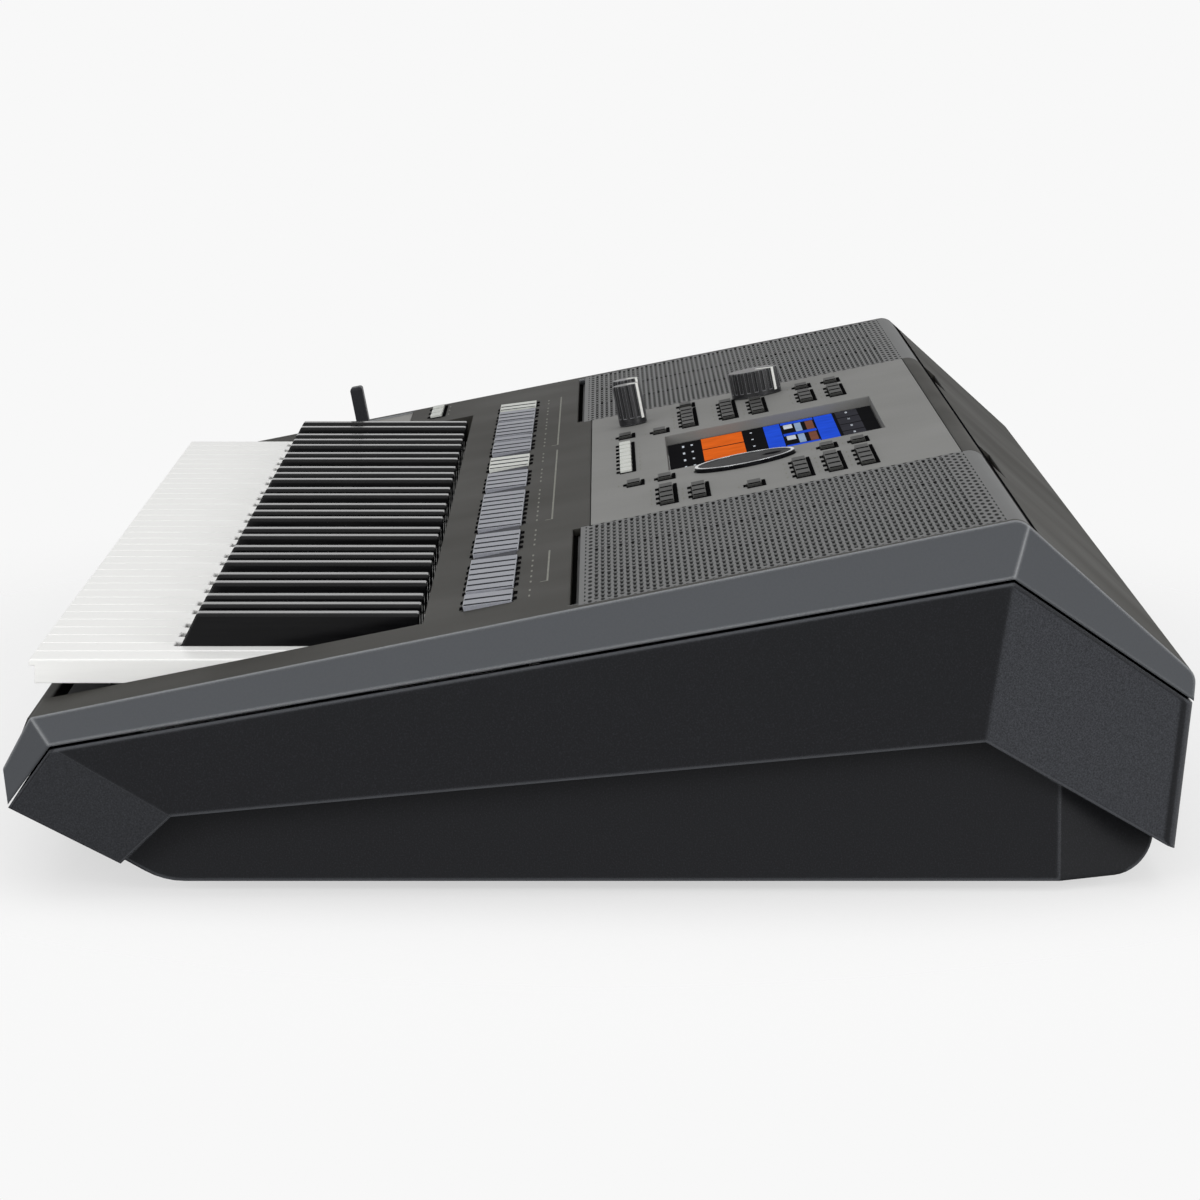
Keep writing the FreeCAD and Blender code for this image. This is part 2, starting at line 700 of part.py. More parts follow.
def lower_case():
    seam = "parting_gap"
    rim = [("part_front_y", f"nose_foot_height - {seam}"), ("part_corner_y", f"part_corner_z - {seam}"),
           ("part_ridge_y", f"part_ridge_z - {seam}"), ("part_rear_y", f"part_rear_z - {seam}")]
    base = [("base_rear_y", "tail_height + 3 * wall"), ("base_rear_y", "foot_height"),
            ("base_front_y", "foot_height"), ("jowl_y", "jowl_height")]
    crease = [("tail_y", "tail_height"), ("tail_y - wall", "tail_height + wall / 2"),
              ("crease_rear_y", "crease_rear_height"), ("crease_front_y", "crease_front_height"),
              ("jowl_y + wall", "jowl_height + wall"), ("jowl_y", "jowl_height")]
    top = [("part_front_y + wall", "ridge_height"), ("part_rear_y - wall", "ridge_height"),
           ("part_rear_y - wall", f"part_rear_z - {seam}")]
    front = ("part_front_y + wall", f"nose_foot_height - {seam} + wall / 2")
    tub = rounded_tub("tub", prism("tub_outline", ("-tub_half", "tub_half"), rim + base), "0")
    cut_tub = trim_ends("tub", tub, TUB_PLANES, 0.0)
    skirt = prism("skirt", ("-case_half", "case_half"), rim + crease)
    outside = fuse("lower_outside", [cut_tub, trim_ends("skirt", skirt, SKIRT_PLANES, 0.0)])
    tub_room = prism("tub_room", ("-tub_half + wall", "tub_half - wall"), top + [
        ("base_rear_y - wall", "tail_height + 3 * wall"), ("base_rear_y - wall", "floor"),
        ("base_front_y + wall / 2", "floor"), ("jowl_y + wall / 2", "jowl_height + 1.2 * wall"), front])
    tub_hollow = trim_ends("tub_hollow", rounded_tub("tub_hollow", tub_room, "wall"), TUB_PLANES, value("wall"))
    skirt_hollow = prism("skirt_hollow", ("-case_half", "case_half"), top + [
        ("tail_y - wall", "tail_height + 2 * wall"), ("crease_rear_y", "crease_rear_height + 1.5 * wall"),
        ("crease_front_y - wall", "crease_front_height + 1.5 * wall"),
        ("jowl_y + wall / 2", "jowl_height + 3 * wall"), front])
    ends_hollow = trim_ends("skirt_hollow", skirt_hollow, SKIRT_PLANES, value("wall"))
    hollow = cut("lower_hollow", fuse("lower_inside", [tub_hollow, ends_hollow]), screw_posts("lower_post"))
    shell = cut("lower_shell", outside, [hollow])
    legs = []
    for x in ("key_left + 3 * post_inset", "key_left + (key_right - key_left) * 0.36",
              "key_left + (key_right - key_left) * 0.64", "key_right - 3 * post_inset"):
        for y in ("base_front_y + 4 * wall", "pivot_y + rail_gap + rail_thickness / 2"):
            legs.append(cylinder("chassis_leg", (x, y, "foot_height + wall / 2"), Z_AXIS, "1.4 * post_radius",
                                 "chassis_bottom - foot_height - wall / 2"))
    for x, y in board_corners():
        legs.append(cylinder("board_leg", (x, y, "foot_height + wall / 2"), Z_AXIS, "floor_boss_radius",
                             "main_board_lift + wall / 2"))
    filled = fuse("lower_with_legs", [shell] + legs)
    holes = []
    for x, y, seam_z in SCREWS:
        holes.append(cylinder("screw_well", (x, y, "0"), Z_AXIS, "screw_head_radius + head_clearance",
                              f"{seam_z} - parting_gap - post_web"))
        holes.append(cylinder("screw_way", (x, y, f"{seam_z} - parting_gap - post_web"), Z_AXIS,
                              "screw_radius + screw_clearance", "3 * post_web"))
    wells = cut("lower_wells", filled, holes[0::2])
    ways = cut("lower_ways", wells, holes[1::2])
    inner = "base_rear_y - 2 * wall"
    reach = "base_rear_setback + 3 * wall"
    openings = [cylinder("jack_way", (x, inner, "jack_z"), Y_AXIS, "jack_bush + socket_clearance", reach)
                for x in jack_places()]
    flat_places = [(x, "usb_width") for x in usb_places()] + [("-inlet_place", "inlet_width")]
    for x, width in flat_places:
        half = f"({width} / 2 + socket_clearance)"
        openings.append(box("socket_way", (f"{x} - {half}", f"{x} + {half}"), (inner, f"{inner} + {reach}"),
                            ("board_top - socket_clearance", "board_top + usb_height + socket_clearance")))
    openings.append(cylinder("power_way", ("-power_place", inner, "power_height"), Y_AXIS,
                             "power_radius + socket_clearance", reach))
    opened = cut("lower_openings", ways, openings)
    subpart("lower_case", fillet("lower_case", opened, "corner_round", is_rear_corner))


def jack_places():
    return [f"jack_first - {number} * jack_pitch" for number in range(4)]


def usb_places():
    return [f"usb_first - {number} * usb_pitch" for number in range(3)]


def board_corners():
    ends = ("-main_board_half + 3 * floor_boss_radius", "main_board_half - 3 * floor_boss_radius")
    sides = ("rear_y - main_board_front + 3 * floor_boss_radius", "base_rear_y - 2 * base_rear_round")
    return [(x, y) for x in ends for y in sides]


def lies_on(edge, points):
    """An edge along X through one of the points, seen from the side."""
    start = edge.Vertexes[0].Point
    return runs_along_x(edge) and any(math.dist(start[1:], point[1:]) < 0.01 for point in points)


def upper_case():
    outline = prism("upper_outline", ("-case_half", "case_half"), [
        ("part_front_y", "nose_foot_height"), ("part_corner_y", "part_corner_z"),
        ("part_ridge_y", "part_ridge_z"), ("part_rear_y", "part_rear_z"), ("rear_y", "lip_height"),
        ("ridge_y", "ridge_height"), ("nose_top_y", "nose_top_z"), ("front_y", "nose_height")])
    ridge = case_point("0", "ridge_y", "ridge_height")
    soft_ridge = fillet("upper_ridge", outline, "ridge_round", lambda edge: lies_on(edge, [ridge]))
    lip = case_point("0", "rear_y", "lip_height")
    soft_lip = fillet("upper_lip", soft_ridge, "lip_round", lambda edge: lies_on(edge, [lip]))
    nose = [case_point("0", "nose_top_y", "nose_top_z"), case_point("0", "front_y", "nose_height")]
    soft = fillet("upper_soft", soft_lip, "edge_round", lambda edge: lies_on(edge, nose))
    outside = trim_ends("upper", soft, BAND_PLANES, 0.0)
    deep = "part_rear_z - 7 * wall"
    hollow = prism("upper_hollow", ("-case_half", "case_half"), [
        ("part_front_y + 1.1 * wall", "nose_foot_height - 7 * wall"), ("part_rear_y - wall", deep),
        ("part_rear_y - wall", "ridge_height - deck_tan * (part_rear_y - wall - ridge_y) - wall / deck_cos"),
        ridge_point("-wall"),
        ("nose_top_y + 0.7 * wall", "nose_top_z + 0.7 * wall * panel_tan - wall / panel_cos"),
        ("front_y + 1.1 * wall", "nose_height")])
    ends_hollow = trim_ends("upper_hollow", hollow, BAND_PLANES, value("wall"))
    well_walls = [box("well_wall", span, ("front_y", "fallboard_y + wall"), ("0", "ridge_height"))
                  for span in (("well_left - wall", "well_left"), ("well_right", "well_right + wall"))]
    slot_y = "rear_y - slot_setback"
    slot_floor = f"ridge_height - deck_tan * ({slot_y} - ridge_y) - slot_depth"
    pockets = []
    slots = []
    for middle in ("slot_offset", "-slot_offset"):
        span = (f"{middle} - slot_length / 2", f"{middle} + slot_length / 2")
        pockets.append(box("slot_pocket", (f"{span[0]} - wall", f"{span[1]} + wall"),
                           (f"{slot_y} - slot_width / 2 - wall", f"{slot_y} + slot_width / 2 + wall"),
                           (f"{slot_floor} - wall", "ridge_height")))
        slots.append(box("slot", span, (f"{slot_y} - slot_width / 2", f"{slot_y} + slot_width / 2"),
                         (slot_floor, "ridge_height + wall")))
    cavity = cut("upper_cavity", ends_hollow, well_walls + pockets + screw_posts("upper_post"))
    shell = cut("upper_shell", outside, [cavity])
    opened = cut("upper_opened", shell, slots + [
        box("key_opening", ("well_left", "well_right"), ("front_y - wall", "fallboard_y"),
            ("rail_seat", "ridge_height"))])
    pilots = [cylinder("pilot", (x, y, f"{seam_z} - wall"), Z_AXIS, "screw_radius + pilot_clearance",
                       "screw_grip + 1.5 * wall") for x, y, seam_z in SCREWS]
    piloted = cut("upper_piloted", opened, pilots)
    centre_recess = on_panel(compound("centre_recess", [
        box("centre_room", ("-centre_half - plate_gap", "centre_half + plate_gap"),
            ("-centre_front", "plate_rear"), ("-plate", "plate"))]))
    recessed = cut("upper_recessed", piloted, [centre_recess])
    sides = (("left", ("-grille_outer", "-centre_half")), ("right", ("centre_half", "grille_outer")))
    for side, span in sides:
        room = prism(f"{side}_grille_room", span, grille_outline("grille_wrap + grille_rear_gap", "plate"))
        recessed = cut(f"upper_{side}_recessed", recessed, [room])
    through = ("-3 * wall", "3 * wall")
    holes = [box("centre_hole", ("-centre_half + ledge", "centre_half - ledge"),
                 ("-centre_front + ledge", "plate_rear - ledge"), through),
             box("left_hole", ("-grille_outer + ledge", "-centre_half - ledge"),
                 ("-seam_front", "plate_rear - ledge"), through),
             box("right_hole", ("centre_half + ledge", "grille_outer - ledge"),
                 ("-seam_front", "plate_rear - ledge"), through),
             cylinder("joystick_hole", ("joystick_x", "joystick_s", "-3 * wall"), Z_AXIS,
                      "sqrt(ball_radius ^ 2 - (joystick_drop - wall) ^ 2) + ball_clearance", "6 * wall")]
    for _, stretches in row_groups():
        holes += [box("row_hole", (f"{left} - cap_clearance", f"{right} + cap_clearance"),
                      ("row_front - cap_clearance", "row_rear + cap_clearance"), through)
                  for left, right, _ in stretches]
    holes += caps_at("articulation_hole", ARTICULATION, "articulation_width", "articulation_length",
                     *through, grow="cap_clearance")
    tray = box("tray", ("-case_half + tray_end", "well_left - tray_side"),
               ("joystick_s - tray_front", "joystick_s + tray_rear"), ("-tray_depth", "wall"))
    bosses = [cylinder("row_boss", (x, along, "-board_drop"), Z_AXIS, "boss_radius", "board_drop - wall / 2")
              for x, along in row_bosses()]
    bosses += [cylinder("articulation_boss", (x, "articulation_s + 0.72 * articulation_length", "-board_drop"),
                        Z_AXIS, "boss_radius / 2", "board_drop - wall / 2") for x in articulation_bosses()]
    axle_reach = "(ring_outer + axle_gap)"
    for low, high in ((f"joystick_s + {axle_reach}", f"joystick_s + {axle_reach} + axle_post"),
                      (f"joystick_s - {axle_reach} - axle_post", f"joystick_s - {axle_reach}")):
        bosses.append(box("axle_post", ("joystick_x - axle_post", "joystick_x + axle_post"), (low, high),
                          ("-joystick_drop - axle_post", "-tray_depth - (wall - tray_depth) / 2")))
    cut_through = cut("upper_cut", recessed, [on_panel(compound("panel_holes", holes))])
    trayed = cut("upper_trayed", cut_through, [on_panel(compound("tray_tool", [tray]))])
    bossed = fuse("upper_bossed", [trayed, on_panel(compound("panel_bosses", bosses))])
    axle_start = f"joystick_s - {axle_reach} - 2 * axle_post"
    axle_way = cylinder("axle_way", ("joystick_x", axle_start, "-joystick_drop"), Y_AXIS,
                        "axle_radius + axle_clearance", f"2 * ({axle_reach} + 2 * axle_post)")
    subpart("upper_case", cut("upper_case", bossed, [on_panel(compound("axle_tool", [axle_way]))]))


def row_bosses():
    along = ("row_front - cap_clearance - 1.6 * boss_radius", "row_rear + cap_clearance + 1.6 * boss_radius")
    return [(f"row_left + (row_right - row_left) * {share}", side)
            for side in along for share in (0.02, 0.35, 0.65, 0.98)]


def articulation_bosses():
    return [f"-case_half + articulation_end + {number} * articulation_pitch" for number in (0.5, 1.5)]


def front_rail():
    toe = "front_y + wall / 3"
    heel = "front_y + front_rail_depth"
    top = "rail_seat + front_rail_height"
    subpart("front_rail", prism("front_rail", ("well_left + plate_gap", "well_right - plate_gap"), [
        (toe, "rail_seat"), (heel, "rail_seat"), (heel, top), (f"{toe} + front_rail_lean", top)]))


def centre_panel():
    sheet = box("centre_sheet", ("-centre_half", "centre_half"),
                ("-centre_front + plate_gap", "plate_rear - plate_gap"), ("-plate", "0"))
    rim = box("display_rim", ("-display_half - display_rim", "display_half + display_rim"),
              ("display_front - display_rim", "display_rear + display_rim"),
              ("-display_recess", "-plate / 2"))
    bosses = [cylinder("centre_boss", (x, along, "-board_drop"), Z_AXIS, "boss_radius",
                       "board_drop - plate / 2") for x, along in centre_bosses()]
    blank = fuse("centre_blank", [sheet, rim] + bosses)
    deep = ("-2 * board_drop", "board_drop")
    holes = [box("display_hole", ("-display_half", "display_half"), ("display_front", "display_rear"), deep)]
    for number, (x, along) in enumerate(knob_places()):
        radius = "shaft_radius + shaft_clearance" if number else "dial_radius + cap_clearance"
        holes.append(cylinder("shaft_hole", (x, along, "-2 * plate"), Z_AXIS, radius, "4 * plate"))
    for centres in SMALL_GROUPS.values():
        holes += caps_at("small_hole", centres, "small_width", "small_length", "-2 * plate", "2 * plate",
                         "cap_clearance")
    holes += caps_at("number_hole", NUMBERS, "number_width", "number_length", "-2 * plate", "2 * plate",
                     "cap_clearance")
    subpart("centre_panel", on_panel(cut("centre_panel", blank, holes)))


def knob_places():
    return [("dial_x", "dial_front"), ("volume_x", "volume_front"),
            ("-centre_half + knob_inset", "knob_front"),
            ("-centre_half + knob_inset + knob_spacing", "knob_front")]


def centre_bosses():
    front = "display_front - boss_front"
    rear = "display_rear - boss_rear"
    ends = ("-centre_half + boss_end", "centre_half - boss_right")
    outer = [(x, along) for x in ends for along in (front, rear)]
    return outer + [("-display_half - boss_side", front), ("display_half - boss_side", front)]


def panel_point(along, normal):
    """A (y, z) pair for a place on the sloping panel."""
    return (f"({along}) * panel_cos - ({normal}) * panel_sin",
            f"panel_level + ({along}) * panel_sin + ({normal}) * panel_cos")


def deck_point(along, normal):
    """A (y, z) pair for a place on the rear deck, measured from the ridge."""
    return (f"ridge_y + ({along}) * deck_cos + ({normal}) * deck_sin",
            f"ridge_height - ({along}) * deck_sin + ({normal}) * deck_cos")


def ridge_point(normal):
    """A (y, z) pair where the panel and the deck, both moved out by a distance, meet."""
    shift = f"({normal}) * (1 / deck_cos - 1 / panel_cos) / (panel_tan + deck_tan)"
    return (f"ridge_y + {shift}", f"ridge_height + panel_tan * {shift} + ({normal}) / panel_cos")


def grille_outline(wrap, rise):
    """Side view of a plate that lies on the panel and is rolled over the ridge."""
    return [panel_point("-grille_front", "-plate"), ridge_point("-plate"), deck_point(wrap, "-plate"),
            deck_point(wrap, rise), ridge_point(rise), panel_point("-grille_front", rise)]


def speaker_grilles():
    plates = []
    ridge = case_point("0", "ridge_y", "ridge_height")
    for side, low, high in (("left", "-grille_outer + plate_gap", "-centre_half - plate_gap"),
                            ("right", "centre_half + plate_gap", "grille_outer - plate_gap")):
        bent = prism(f"{side}_sheet", (low, high), grille_outline("grille_wrap", "0"))
        sheet = fillet(f"{side}_rolled", bent, "ridge_round", lambda edge: lies_on(edge, [ridge]))
        rows = int(value("(plate_rear + grille_front - 2 * rib_border) / rib_pitch"))
        bay = f"(({high}) - ({low}) - 2 * rib_border + rib_bar) / 3"
        slots = []
        for row in range(rows):
            front = f"-grille_front + rib_border + {row} * rib_pitch"
            for column in range(3):
                start = f"{low} + rib_border + {column} * {bay}"
                slots.append(box("rib_slot", (start, f"{start} + {bay} - rib_bar"),
                                 (front, f"{front} + rib_slot"), ("-2 * plate", "plate")))
        plates.append(cut(f"{side}_grille", sheet, [on_panel(compound(f"{side}_slots", slots))]))
    subpart("speaker_grilles", compound("speaker_grilles", plates))


def speakers():
    baffles = []
    drivers = []
    middle_s = "(plate_rear - baffle_rear_margin - grille_front) / 2"
    for side in ("", "-"):
        middle = f"{side}((grille_outer + centre_half) / 2)"
        half = "(grille_outer - centre_half) / 2 - plate"
        sheet = box("baffle_sheet", (f"{middle} - ({half})", f"{middle} + ({half})"),
                    ("-grille_front - plate", "plate_rear - baffle_rear_margin"), ("-wall - baffle", "-wall"))
        hole = cylinder("baffle_hole", (middle, middle_s, "-3 * wall - baffle"), Z_AXIS, "driver_radius",
                        "6 * wall")
        baffles.append(cut("baffle", sheet, [hole]))
        top = "-wall - baffle - driver_ring"
        ring = cylinder("driver_ring", (middle, middle_s, top), Z_AXIS, "driver_radius + driver_flange",
                        "driver_ring")
        basket = cone("basket", (middle, middle_s, f"{top} - driver_depth"), "driver_throat",
                      "driver_radius + cone_skin", "driver_depth")
        magnet = cylinder("magnet", (middle, middle_s, f"{top} - driver_depth - magnet_depth"), Z_AXIS,
                          "magnet_radius", "magnet_depth")
        mouth = cone("mouth", (middle, middle_s, f"{top} - driver_depth + cone_skin"),
                     "driver_throat - cone_skin", "driver_radius", "driver_depth + driver_ring")
        dust_cap = sphere("dust_cap", (middle, middle_s, f"{top} - driver_depth"),
                          "driver_throat - 2 * cone_skin")
        hollow = cut("driver_hollow", fuse("driver_blank", [ring, basket, magnet]), [mouth])
        drivers.append(fuse("driver", [hollow, dust_cap]))
    subpart("speaker_baffles", on_panel(compound("speaker_baffles", baffles)))
    subpart("speaker_drivers", on_panel(compound("speaker_drivers", drivers)))


def display():
    def slab(name, border, low, high):
        piece = box(name + "_slab", (f"-display_half - {border}", f"display_half + {border}"),
                    (f"display_front - {border}", f"display_rear + {border}"), (low, high))
        subpart(name, on_panel(compound(name, [piece])))
    slab("display_glass", "glass_border", "-display_recess - glass", "-display_recess")
    slab("display_module", "module_border", "-display_recess - glass - module_depth",
         "-display_recess - glass")


def boards():
    level = ("-board_drop - board", "-board_drop")
    inner = "display_half + module_border + board_margin"
    centre = fuse("centre_board", [
        box("board_strip", ("-centre_half + 2 * board_margin", "centre_half - 2 * board_margin"),
            ("board_margin / 2", "display_front - module_border - board_margin / 2"), level),
        box("board_left", ("-centre_half + 2 * board_margin", f"-({inner})"),
            ("board_margin / 2", "display_rear"), level),
        box("board_right", (inner, "centre_half - 2 * board_margin"),
            ("board_margin / 2", "display_rear"), level)])
    row = box("row_board", ("row_left - board_margin", "row_right + board_margin"),
              ("row_front - 2 * board_margin", "row_rear + 2 * board_margin"), level)
    first, last = ARTICULATION[0][0], ARTICULATION[2][0]
    articulation = box("articulation_board",
                       (f"{first} - articulation_width / 2", f"{last} + articulation_width / 2"),
                       ("articulation_s - articulation_length", "articulation_s + articulation_length"), level)
    subpart("panel_boards", on_panel(compound("panel_boards", [centre, row, articulation])))
    board = box("board_sheet", ("-main_board_half", "main_board_half"),
                ("rear_y - main_board_front", "tail_y - main_board_rear"), ("board_top - board", "board_top"))
    start = "rear_y - main_board_front + board_part_front"
    parts = [box("heat_sink", ("-heat_sink_width", "0"), (start, f"{start} + heat_sink_length"),
                 ("board_top - board / 2", "board_top + heat_sink_height"))]
    for number in range(1, 5):
        parts.append(cylinder("capacitor", (f"{number} * capacitor_pitch", f"{start} + capacitor_radius",
                                            "board_top - board / 2"),
                              Z_AXIS, "capacitor_radius", "capacitor_height"))
    subpart("main_board", fuse("main_board", [board] + parts))


def rear_sockets():
    pieces = []
    for x in jack_places():
        block = box("jack_block", (f"{x} - jack_width / 2", f"{x} + jack_width / 2"),
                    ("socket_y - jack_length", "base_rear_y - wall - socket_clearance"),
                    ("board_top", "board_top + jack_height"))
        bush = cylinder("jack_sleeve", (x, "socket_y - jack_length / 2", "jack_z"), Y_AXIS, "jack_bush",
                        "tail_y + jack_proud - socket_y + jack_length / 2")
        bore = cylinder("jack_bore", (x, "tail_y + jack_proud - jack_bore_length", "jack_z"), Y_AXIS,
                        "jack_bore", "jack_bore_length + wall")
        pieces.append(cut("jack", fuse("jack_blank", [block, bush]), [bore]))
    for x in usb_places():
        block = box("usb_block", (f"{x} - usb_width / 2", f"{x} + usb_width / 2"),
                    ("socket_y - jack_length", "tail_y"), ("board_top", "board_top + usb_height"))
        mouth = box("usb_mouth", (f"{x} - usb_width / 2 + usb_skin", f"{x} + usb_width / 2 - usb_skin"),
                    ("tail_y - jack_length / 2", "tail_y + wall"),
                    ("board_top + usb_skin", "board_top + usb_height - usb_skin"))
        tongue = box("usb_tongue", (f"{x} - usb_width / 4", f"{x} + usb_width / 4"),
                     ("tail_y - jack_length / 2", "tail_y - wall / 3"),
                     ("board_top + usb_height / 2 - usb_skin", "board_top + usb_height / 2 + usb_skin"))
        pieces.append(fuse("usb", [cut("usb_shell", block, [mouth]), tongue]))
    inlet = box("inlet_block", ("-inlet_place - inlet_width / 2", "-inlet_place + inlet_width / 2"),
                ("socket_y - jack_length", "tail_y"), ("board_top", "board_top + usb_height"))
    middle = "board_top + usb_height / 2"
    barrel = cylinder("inlet_barrel", ("-inlet_place", "tail_y - jack_length / 2", middle), Y_AXIS,
                      "inlet_bore", "jack_length")
    pin = cylinder("inlet_pin", ("-inlet_place", "tail_y - jack_length / 2 - wall", middle), Y_AXIS,
                   "inlet_pin", "jack_length / 2 + wall / 2")
    pieces.append(fuse("inlet", [cut("inlet_shell", inlet, [barrel]), pin]))
    subpart("rear_sockets", compound("rear_sockets", pieces))
    start = "tail_y + jack_proud + wall / 2 - power_length"
    cap = cylinder("power_cap", ("-power_place", start, "power_height"), Y_AXIS, "power_radius", "power_length")
    subpart("power_button", compound("power_button", [cap]))


def feet_and_screws():
    feet = [cylinder("foot", (x, y, "0"), Z_AXIS, "foot_radius", "foot_height")
            for x in ("-case_half + foot_end_inset", "case_half - foot_end_inset")
            for y in ("front_y + foot_front_inset", "rear_y - foot_rear_inset")]
    subpart("rubber_feet", compound("rubber_feet", feet))
    screws = []
    for x, y, seam_z in SCREWS:
        seat = f"{seam_z} - parting_gap - post_web"
        head = cylinder("screw_head", (x, y, f"{seat} - screw_head"), Z_AXIS, "screw_head_radius",
                        "screw_head")
        shank = cylinder("screw_shank", (x, y, f"{seat} - screw_head / 2"), Z_AXIS, "screw_radius",
                         "post_web + parting_gap + screw_head / 2 + screw_grip")
        screws.append(fuse("screw", [head, shank]))
    subpart("case_screws", compound("case_screws", screws))


def keybed():
    along = ("key_left", "key_right")
    sheet = box("chassis_sheet_metal", along, ("front_y + chassis_setback", "rail_y + rail_thickness"),
                ("chassis_bottom", "chassis_top"))
    upright = box("chassis_upright", along, ("rail_y + rail_thickness / 4", "rail_y + rail_thickness"),
                  ("chassis_bottom", "rail_bottom"))
    channel = cut("contact_channel", box("channel_block", along, ("contact_y", "contact_y + contact_width"),
                                         ("chassis_bottom", "contact_top - contact_thickness")),
                  [box("channel_hollow", ("key_left - wall", "key_right + wall"),
                       ("contact_y + chassis_sheet", "contact_y + contact_width - chassis_sheet"),
                       ("chassis_top", "contact_top - contact_thickness - chassis_sheet"))])
    subpart("keybed_chassis", fuse("keybed_chassis", [sheet, upright, channel]))
    subpart("key_contact_strip", compound("key_contact_strip", [
        box("contact_rubber", along, ("contact_y + chassis_sheet", "contact_y + contact_width - chassis_sheet"),
            ("contact_top - contact_thickness", "contact_top"))]))
    subpart("key_felt", compound("key_felt", [
        box("felt_strip", along, ("felt_y", "felt_y + felt_width"), ("chassis_top", "felt_top"))]))
    rail = box("rail_block", along, ("rail_y", "rail_y + rail_thickness"),
               ("rail_bottom", "pivot_z + pivot_drop"))
    groove = cylinder("rail_groove", ("key_left - wall", "pivot_y", "pivot_z"), X_AXIS,
                      "pivot_radius + pivot_clearance", "key_right - key_left + 2 * wall")
    subpart("key_hinge_rail", cut("key_hinge_rail", rail, [groove]))


def black_centre(octave, slot):
    return f"key_left + octave * {octave} + octave * {slot / 12}"


def white_key(index):
    left = f"key_left + white_pitch * {index} + key_gap / 2"
    right = f"key_left + white_pitch * {index + 1} - key_gap / 2"
    head_end = "key_front + white_head"
    head = box("white_head", (left, right), ("key_front + key_lip", head_end), ("white_bottom", "key_top"))
    lip = box("white_lip", (left, right), ("key_front", "key_front + key_lip"),
              ("key_top - key_lip_height", "key_top"))
    beam = box("white_beam", (left, right), (head_end, "pivot_y"), ("beam_bottom", "key_top"))
    pivot = cylinder("white_pivot", (left, "pivot_y", "pivot_z"), X_AXIS, "pivot_radius",
                     "white_pitch - key_gap")
    tools = [box("white_hollow", (f"{left} + key_skin", f"{right} - key_skin"),
                 ("key_front + key_lip + key_skin", f"{head_end} - key_skin"),
                 ("white_bottom - wall", "key_top - key_skin"))]
    octave, note = divmod(index, 7)
    for _, slot, left_note in BLACK_SLOTS:
        if note in (left_note, left_note + 1) and octave < OCTAVES:
            middle = black_centre(octave, slot)
            reach = "(black_width / 2 + black_side_gap)"
            tools.append(box("black_room", (f"{middle} - {reach}", f"{middle} + {reach}"),
                             (head_end, "pivot_y + 2 * pivot_radius"),
                             ("beam_bottom - wall", "key_top + wall")))
    blank = cut("white_blank", fuse("white_solid", [head, lip, beam, pivot]), tools)
    top = value("key_top")
    rear = value("fallboard_y")
    return fillet("white_key", blank, "key_round",
                  lambda edge: all(abs(point.Point.z - top) < 0.01 for point in edge.Vertexes)
                  and edge.CenterOfMass.y < rear and math.fabs(edge.CenterOfMass.y - value("pivot_y")) > 1)


def black_key(octave, slot):
    middle = black_centre(octave, slot)
    side = ("black_width / 2", "black_top_width / 2")
    cap = doc.addObject("Part::Wedge", "black_cap")
    for prop, formula in (("Xmin", f"-({side[0]})"), ("Xmax", side[0]),
                          ("X2min", f"-({side[1]})"), ("X2max", side[1]),
                          ("Ymin", "key_top - key_skin"), ("Ymax", "key_top + black_rise"),
                          ("Zmin", "-black_rear"), ("Zmax", "-black_front"), ("Z2min", "-black_rear"),
                          ("Z2max", "-black_front - black_nose")):
        bind(cap, prop, formula)
    place(cap, (middle, "0", "0"), FreeCAD.Rotation(X_AXIS, 90))
    peak = value("key_top + black_rise")
    soft = fillet("black_soft", cap, "1.5 * key_round",
                  lambda edge: all(abs(point.Point.z - peak) < 0.01 for point in edge.Vertexes))
    beam = box("black_beam", (f"{middle} - black_width / 2", f"{middle} + black_width / 2"),
               ("black_front", "pivot_y"), ("beam_bottom", "key_top - key_skin / 2"))
    pivot = cylinder("black_pivot", (f"{middle} - black_width / 2", "pivot_y", "pivot_z"), X_AXIS,
                     "pivot_radius", "black_width")
    return fuse("black_key", [soft, beam, pivot])


def keys():
    for stretch, octaves in (("low", (0, 1)), ("middle", (2, 3))):
        whites = [white_key(octave * 7 + note) for octave in octaves for note in range(7)]
        blacks = [black_key(octave, slot) for octave in octaves for _, slot, _ in BLACK_SLOTS]
        subpart(f"{stretch}_white_keys", compound(f"{stretch}_white_keys", whites))
        subpart(f"{stretch}_black_keys", compound(f"{stretch}_black_keys", blacks))
    top = OCTAVES - 1
    for number, note in enumerate(NOTES):
        subpart(f"key_{note}", white_key(top * 7 + number))
    for note, slot, _ in BLACK_SLOTS:
        subpart(f"key_{note}", black_key(top, slot))
    subpart("key_high_c", white_key(OCTAVES * 7))


def long_buttons():
    for number, stretches in row_groups():
        low = stretches[-1][0]
        high = stretches[0][1]
        strip = prism(f"row_strip_{number}", (low, high), [
            ("row_front", "-cap_depth"), ("row_rear", "-cap_depth"), ("row_rear", "cap_rear_rise"),
            ("row_front", "cap_front_rise")])
        gaps = []
        for left, right, count in stretches:
            for step in range(1, count):
                seam = f"{left} + {step} * button_pitch"
                gaps.append((f"{seam} - cap_gap / 2", f"{seam} + cap_gap / 2"))
        for first, second in zip(stretches, stretches[1:]):
            gaps.append((second[1], first[0]))
        tools = [box("cap_split", span, ("row_front - wall", "row_rear + wall"),
                     ("-cap_depth + carrier", "3 * wall")) for span in gaps]
        subpart(f"long_buttons_{number}", on_panel(cut(f"long_buttons_{number}", strip, tools)))


